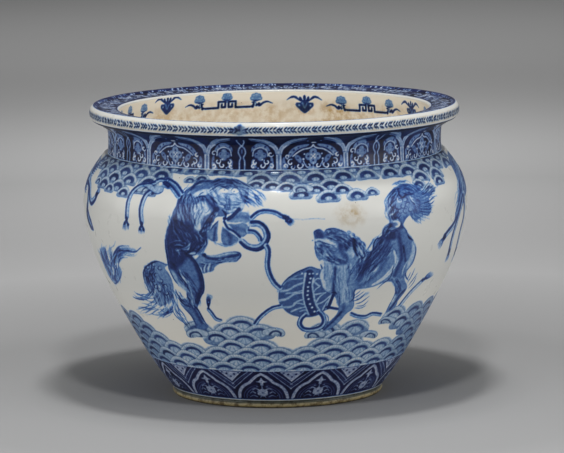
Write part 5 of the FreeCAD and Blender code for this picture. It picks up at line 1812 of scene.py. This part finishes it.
def fret(b):
    """A square fret between two hooked stems, under three fungus heads."""
    square = (27.0, -20.6, 10.4, -20.6, 10.4, -13.6, 2.0, -13.6, 2.0, -20.0, 6.2, -20.0, 6.2, -16.8)
    for way in (-1, 1):
        b.pen.line(pairs(square) * (way, 1), 2.4, 0.97, "cover", smooth=False)
    both(b.ink, (2.6, 0.9, 26.4, -20.4, 30.4, -19.6, 31.4, -16.0, 28.8, -15.2))
    both(b.ink, (2.4, 0.88, 34.0, -16.6, 38.0, -19.6, 42.0, -16.4, 47.0, -15.0, 53.0, -17.0))
    for x, y, size in ((0, -8.6, 6.4), (-34.0, -10.2, 6.8), (34.0, -10.2, 6.8)):
        for angle in (-0.2, 0.8, math.pi / 2, math.pi - 0.8, math.pi + 0.2):
            b.dab(size * 0.76, 0.5, x + size * 0.66 * math.cos(angle), y + size * 0.5 * math.sin(angle))
            b.dab(size * 0.42, 0.34, x + size * 0.68 * math.cos(angle), y + size * 0.5 * math.sin(angle))
        b.dab(size * 0.8, 0.46, x, y)
        b.ink(1.8, 0.8, x - size * 0.7, y - 2.4, x, y - 3.4, x + size * 0.7, y - 2.4)
        b.ink(1.8, 0.85, x, y - 2.6, x, y - 6.0)
    both(b.beads, (3.4, 0.95, 30.0, -20.4, 37.4, -17.4))
    both(b.beads, (2.6, 0.95, 31.4, -15.4, 34.4, -19.0))


# The painting itself, in the order in which one layer covers another

FRONT_SEED, SIDE_SEED, LOW_CLOUD_SEED = 11, 13, 29
SIDE_TURN = math.radians(88)
SIDE_SHADE = 0.3
WAVES_TOP = 165
SHOULDER_SHADE_LONG = 22
# painted light low on the wall: its strength, and the length below which it grows
FOOT_PAINTED_LIGHT = 0.7
FOOT_PAINTED_LIGHT_TOP = 150

banks(all_round(CLOUDS), columns=42, top=WALL.lengths[-1] + 5, pitch=9.6, rows=6, half_width=15.4,
      depth=15.0, arch=0.72, pale=0.17, pupil=0.6, seed=3)
banks(all_round(WAVES, 1.08), columns=31, top=152.0, pitch=10.4, rows=12, half_width=18.0,
      depth=21.0, arch=0.58, pale=0.18, pupil=1.0, seed=5)
# painted shade: the waves darkened towards the vessel's sides
aside = np.abs(np.sin(np.arange(WALL.columns) * WALL.column_turn))
low = WALL.lengths[:, None] < WAVES_TOP
near_side = low * (WALL.cobalt > 0.1) * np.clip((aside - 0.7) / 0.25, 0, 1)
WALL.cobalt += SIDE_SHADE * near_side * (1 - WALL.cobalt)
for offset in (0, math.pi):
    chance = np.random.default_rng(LOW_CLOUD_SEED)
    for x, y, half_width in LOW_CLOUDS:
        (turn, length), = on_wall([(x, y)]) + (offset, 0)
        scale(turn, length, half_width, depth=half_width * 1.05, arch=0.62, pale=0.14, pupil=0.6,
              chance=chance)
    brush = Brush(Pen(WALL, lambda pixels, offset=offset: on_wall(pixels) + (offset, 0)), FRONT_SEED)
    for curl in CURLED_ENDS:
        curled_end(brush, *curl)
    for figure in (loose_tuft, rearing_lion, lion_tail, brocade_ball, standing_lion, plume, ribbons):
        figure(brush)
    side_plume(brush_at(WALL, SIDE_TURN - offset, SIDE_SEED))

# A hair crack and a patch of rust on the front, painted shade under the neck, and painted light as a
# brighter cream towards the foot
pen = Pen(WALL, on_wall)
pen.line([(293, 219), (303, 219.6), (314, 218.6), (325, 219)], 0.6, 0.45)
halo = pairs((337, 214, 344, 207, 356, 206, 364, 213, 360, 222, 346, 224))
pen.fill(halo, 0.5, soft=14, layer="stain")
pen.fill(pairs((346, 213, 350, 210, 356, 213, 354, 218, 348, 218)), 0.5, "add", soft=5, layer="stain")
# painted shade: the painting darkened and warmed over the top of the wall, under the neck
rise = (WALL.lengths[:, None] - WALL.lengths[-1] + SHOULDER_SHADE_LONG) / SHOULDER_SHADE_LONG
shade = np.clip(rise, 0, 1) * (WALL.cobalt > 0.1)
WALL.cobalt += 0.2 * shade * (0.8 - WALL.cobalt)
WALL.stain += 0.3 * shade
# painted light: the unpainted white mixed to a brighter cream towards the foot
WALL.stain -= FOOT_PAINTED_LIGHT * np.clip((FOOT_PAINTED_LIGHT_TOP - WALL.lengths[:, None]) / 90, 0, 1)
lappet_band()
arcade()
husk_border()
flange_scrolls()
mouth_motifs()


# Floor, lamps and camera

FLOOR_FAR = 8.0
FLOOR_HALF = 14
# Floor greys by distance from the axis: painted shadow darkens them near the pot, painted light lifts them
# where the lamps fall off
FLOOR_PAINTED_SHADOW_AND_LIGHT = (
    (0.000, 138), (0.026, 152), (0.036, 170), (0.052, 172), (0.060, 180), (0.110, 208),
    (0.150, 192), (0.230, 164), (0.330, 174), (0.470, 184), (0.650, 176), (1.000, 162),
)
LAMPS = (
    ("overhead lamp", (0.03, -0.26, 1.55), 0.15, 9.0),
    ("front top lamp", (0.02, -1.08, 1.6), 0.18, 8.6),
    ("left softbox", (-2.77, 0.0, 0.39), 1.7, 15),
    ("left front softbox", (-2.2, -1.7, 0.39), 1.7, 24),
    ("front softbox", (0.3, -2.75, 0.39), 1.7, 4),
    ("right front softbox", (2.2, -1.7, 0.39), 1.7, 15),
    ("right softbox", (2.7, -0.7, 0.39), 1.7, 24),
)
BACK_LAMPS = (
    ("near back lamp", (0, 2.0, 1.7), 0.9, 5.6),
    ("far back lamp", (0, 4.2, 3.2), 2.4, 9.5),
)
BACK_SPREAD = math.radians(84)
LAMPS_AIM = (0, 0, 0.18)
STUDIO_GREY = (0.6, 0.6, 0.6, 1)
STUDIO_GLOW = 0.31
SIGHT_END = 60


def stage():
    """A pale floor that greys with distance, darkened near the pot by painted shadow and lifted where the
    lamps fall off by painted light; soft lamps and the Standard view transform.
    """
    scene = bpy.context.scene
    scene.view_settings.view_transform = "Standard"
    mesh = bpy.data.meshes.new("floor")
    corners = [(x * FLOOR_HALF, y * FLOOR_HALF, 0) for x, y in ((-1, -1), (1, -1), (1, 1), (-1, 1))]
    mesh.from_pydata(corners, [], [(0, 1, 2, 3)])
    floor = bpy.data.objects.new("floor", mesh)
    scene.collection.objects.link(floor)
    s = Shader("pale floor")
    away = s.node("ShaderNodeVectorMath", {"operation": "LENGTH"}, {0: s.place()}, output=1)
    stops = [(place, rgb(grey, grey, grey)) for place, grey in FLOOR_PAINTED_SHADOW_AND_LIGHT]
    colour = s.node("ShaderNodeValToRGB", {"stops": stops}, {"Fac": away / FLOOR_FAR})
    mesh.materials.append(s.finish({"colour": colour, "roughness": 0.9}, {"Specular IOR Level": 0.1}))
    world = bpy.data.worlds.new("studio")
    scene.world = world
    world.use_nodes = True
    sky = world.node_tree.nodes["Background"].inputs
    sky["Color"].default_value = STUDIO_GREY
    sky["Strength"].default_value = STUDIO_GLOW
    for name, place, size, power in (*LAMPS, *BACK_LAMPS):
        lamp = bpy.data.lights.new(name, "AREA")
        lamp.shape = "DISK"
        lamp.size = size
        lamp.energy = power
        holder = bpy.data.objects.new(name, lamp)
        holder.location = place
        if "back" in name:
            lamp.spread = BACK_SPREAD
        else:
            aim = Vector(LAMPS_AIM) - Vector(place)
            holder.rotation_euler = aim.to_track_quat("-Z", "Y").to_euler()
        scene.collection.objects.link(holder)


def photo_camera():
    """The photograph's viewpoint; the picture's centre is reached by aiming, not by shift."""
    eye = Vector((0, -CAMERA_DISTANCE * math.cos(CAMERA_TILT),
                  AXIS_HEIGHT + CAMERA_DISTANCE * math.sin(CAMERA_TILT)))
    forward = Vector((0, math.cos(CAMERA_TILT), -math.sin(CAMERA_TILT)))
    right = Vector((1, 0, 0))
    up = right.cross(forward)
    turn = Matrix((right, up, -forward)).transposed() @ Matrix.Rotation(-CAMERA_ROLL, 3, "Z")
    across = (PHOTO_WIDTH / 2 - AXIS_PIXEL[0]) / LENS_PIXELS
    down = (PHOTO_HEIGHT / 2 - AXIS_PIXEL[1]) / LENS_PIXELS
    turn = turn @ Matrix.Rotation(-math.atan(across), 3, "Y")
    turn = turn @ Matrix.Rotation(-math.atan(down), 3, "X")
    camera = bpy.data.objects.new("camera", bpy.data.cameras.new("camera"))
    camera.data.lens = LENS_PIXELS * SENSOR_WIDTH / PHOTO_WIDTH
    camera.data.sensor_width = SENSOR_WIDTH
    camera.data.clip_end = SIGHT_END
    camera.matrix_world = Matrix.Translation(eye) @ turn.to_4x4()
    bpy.context.scene.collection.objects.link(camera)
    bpy.context.scene.camera = camera


# The skins, laid over the nodes that they replace


def dress(skin, *nodes):
    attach(skin, "root")
    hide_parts(*nodes)
    "biscuit_porcelain" if "foot_ring" in nodes else "glazed_porcelain"


for quarter, middle in QUARTERS.items():
    for part, line, nodes in (("lower_wall", wall_low, ("lower_wall", "belly_lute")),
                              ("upper_wall", wall_high, ("upper_wall", "shoulder_lute"))):
        skin = turned(f"{part}_{quarter}", line, GLAZE, WALL_COLUMNS, middle, 90)
        WALL.give(skin)
        dress(skin, *nodes)
for part, line, sheet, columns, nodes in (
        ("neck_band", neck_line, NECK, BAND_COLUMNS, ("neck", "rim_lute")),
        ("rolled_lip", lip_line, LIP, BAND_COLUMNS, ("rim",)),
        ("flange", flange_line, FLANGE, BAND_COLUMNS, ("rim",)),
        ("mouth_inside", mouth_line, MOUTH, MOUTH_COLUMNS, ("rim", "neck")),
        ("bowl_inside", bowl_line, BOWL, PLAIN_COLUMNS, ("lower_wall", "base", "base_lute")),
        ("base_underside", under_line, None, PLAIN_COLUMNS, ("base",)),
        ("foot_ring_turned", foot_line, None, FOOT_COLUMNS, ("foot_ring", "foot_lute"))):
    material, strips = (GLAZE, RING_STRIPS) if sheet else (BISCUIT, 1)
    skin = turned(part, line, material, columns, strips=strips)
    if sheet:
        sheet.give(skin)
    dress(skin, *nodes)
stage()
photo_camera()
bpy.context.view_layer.update()
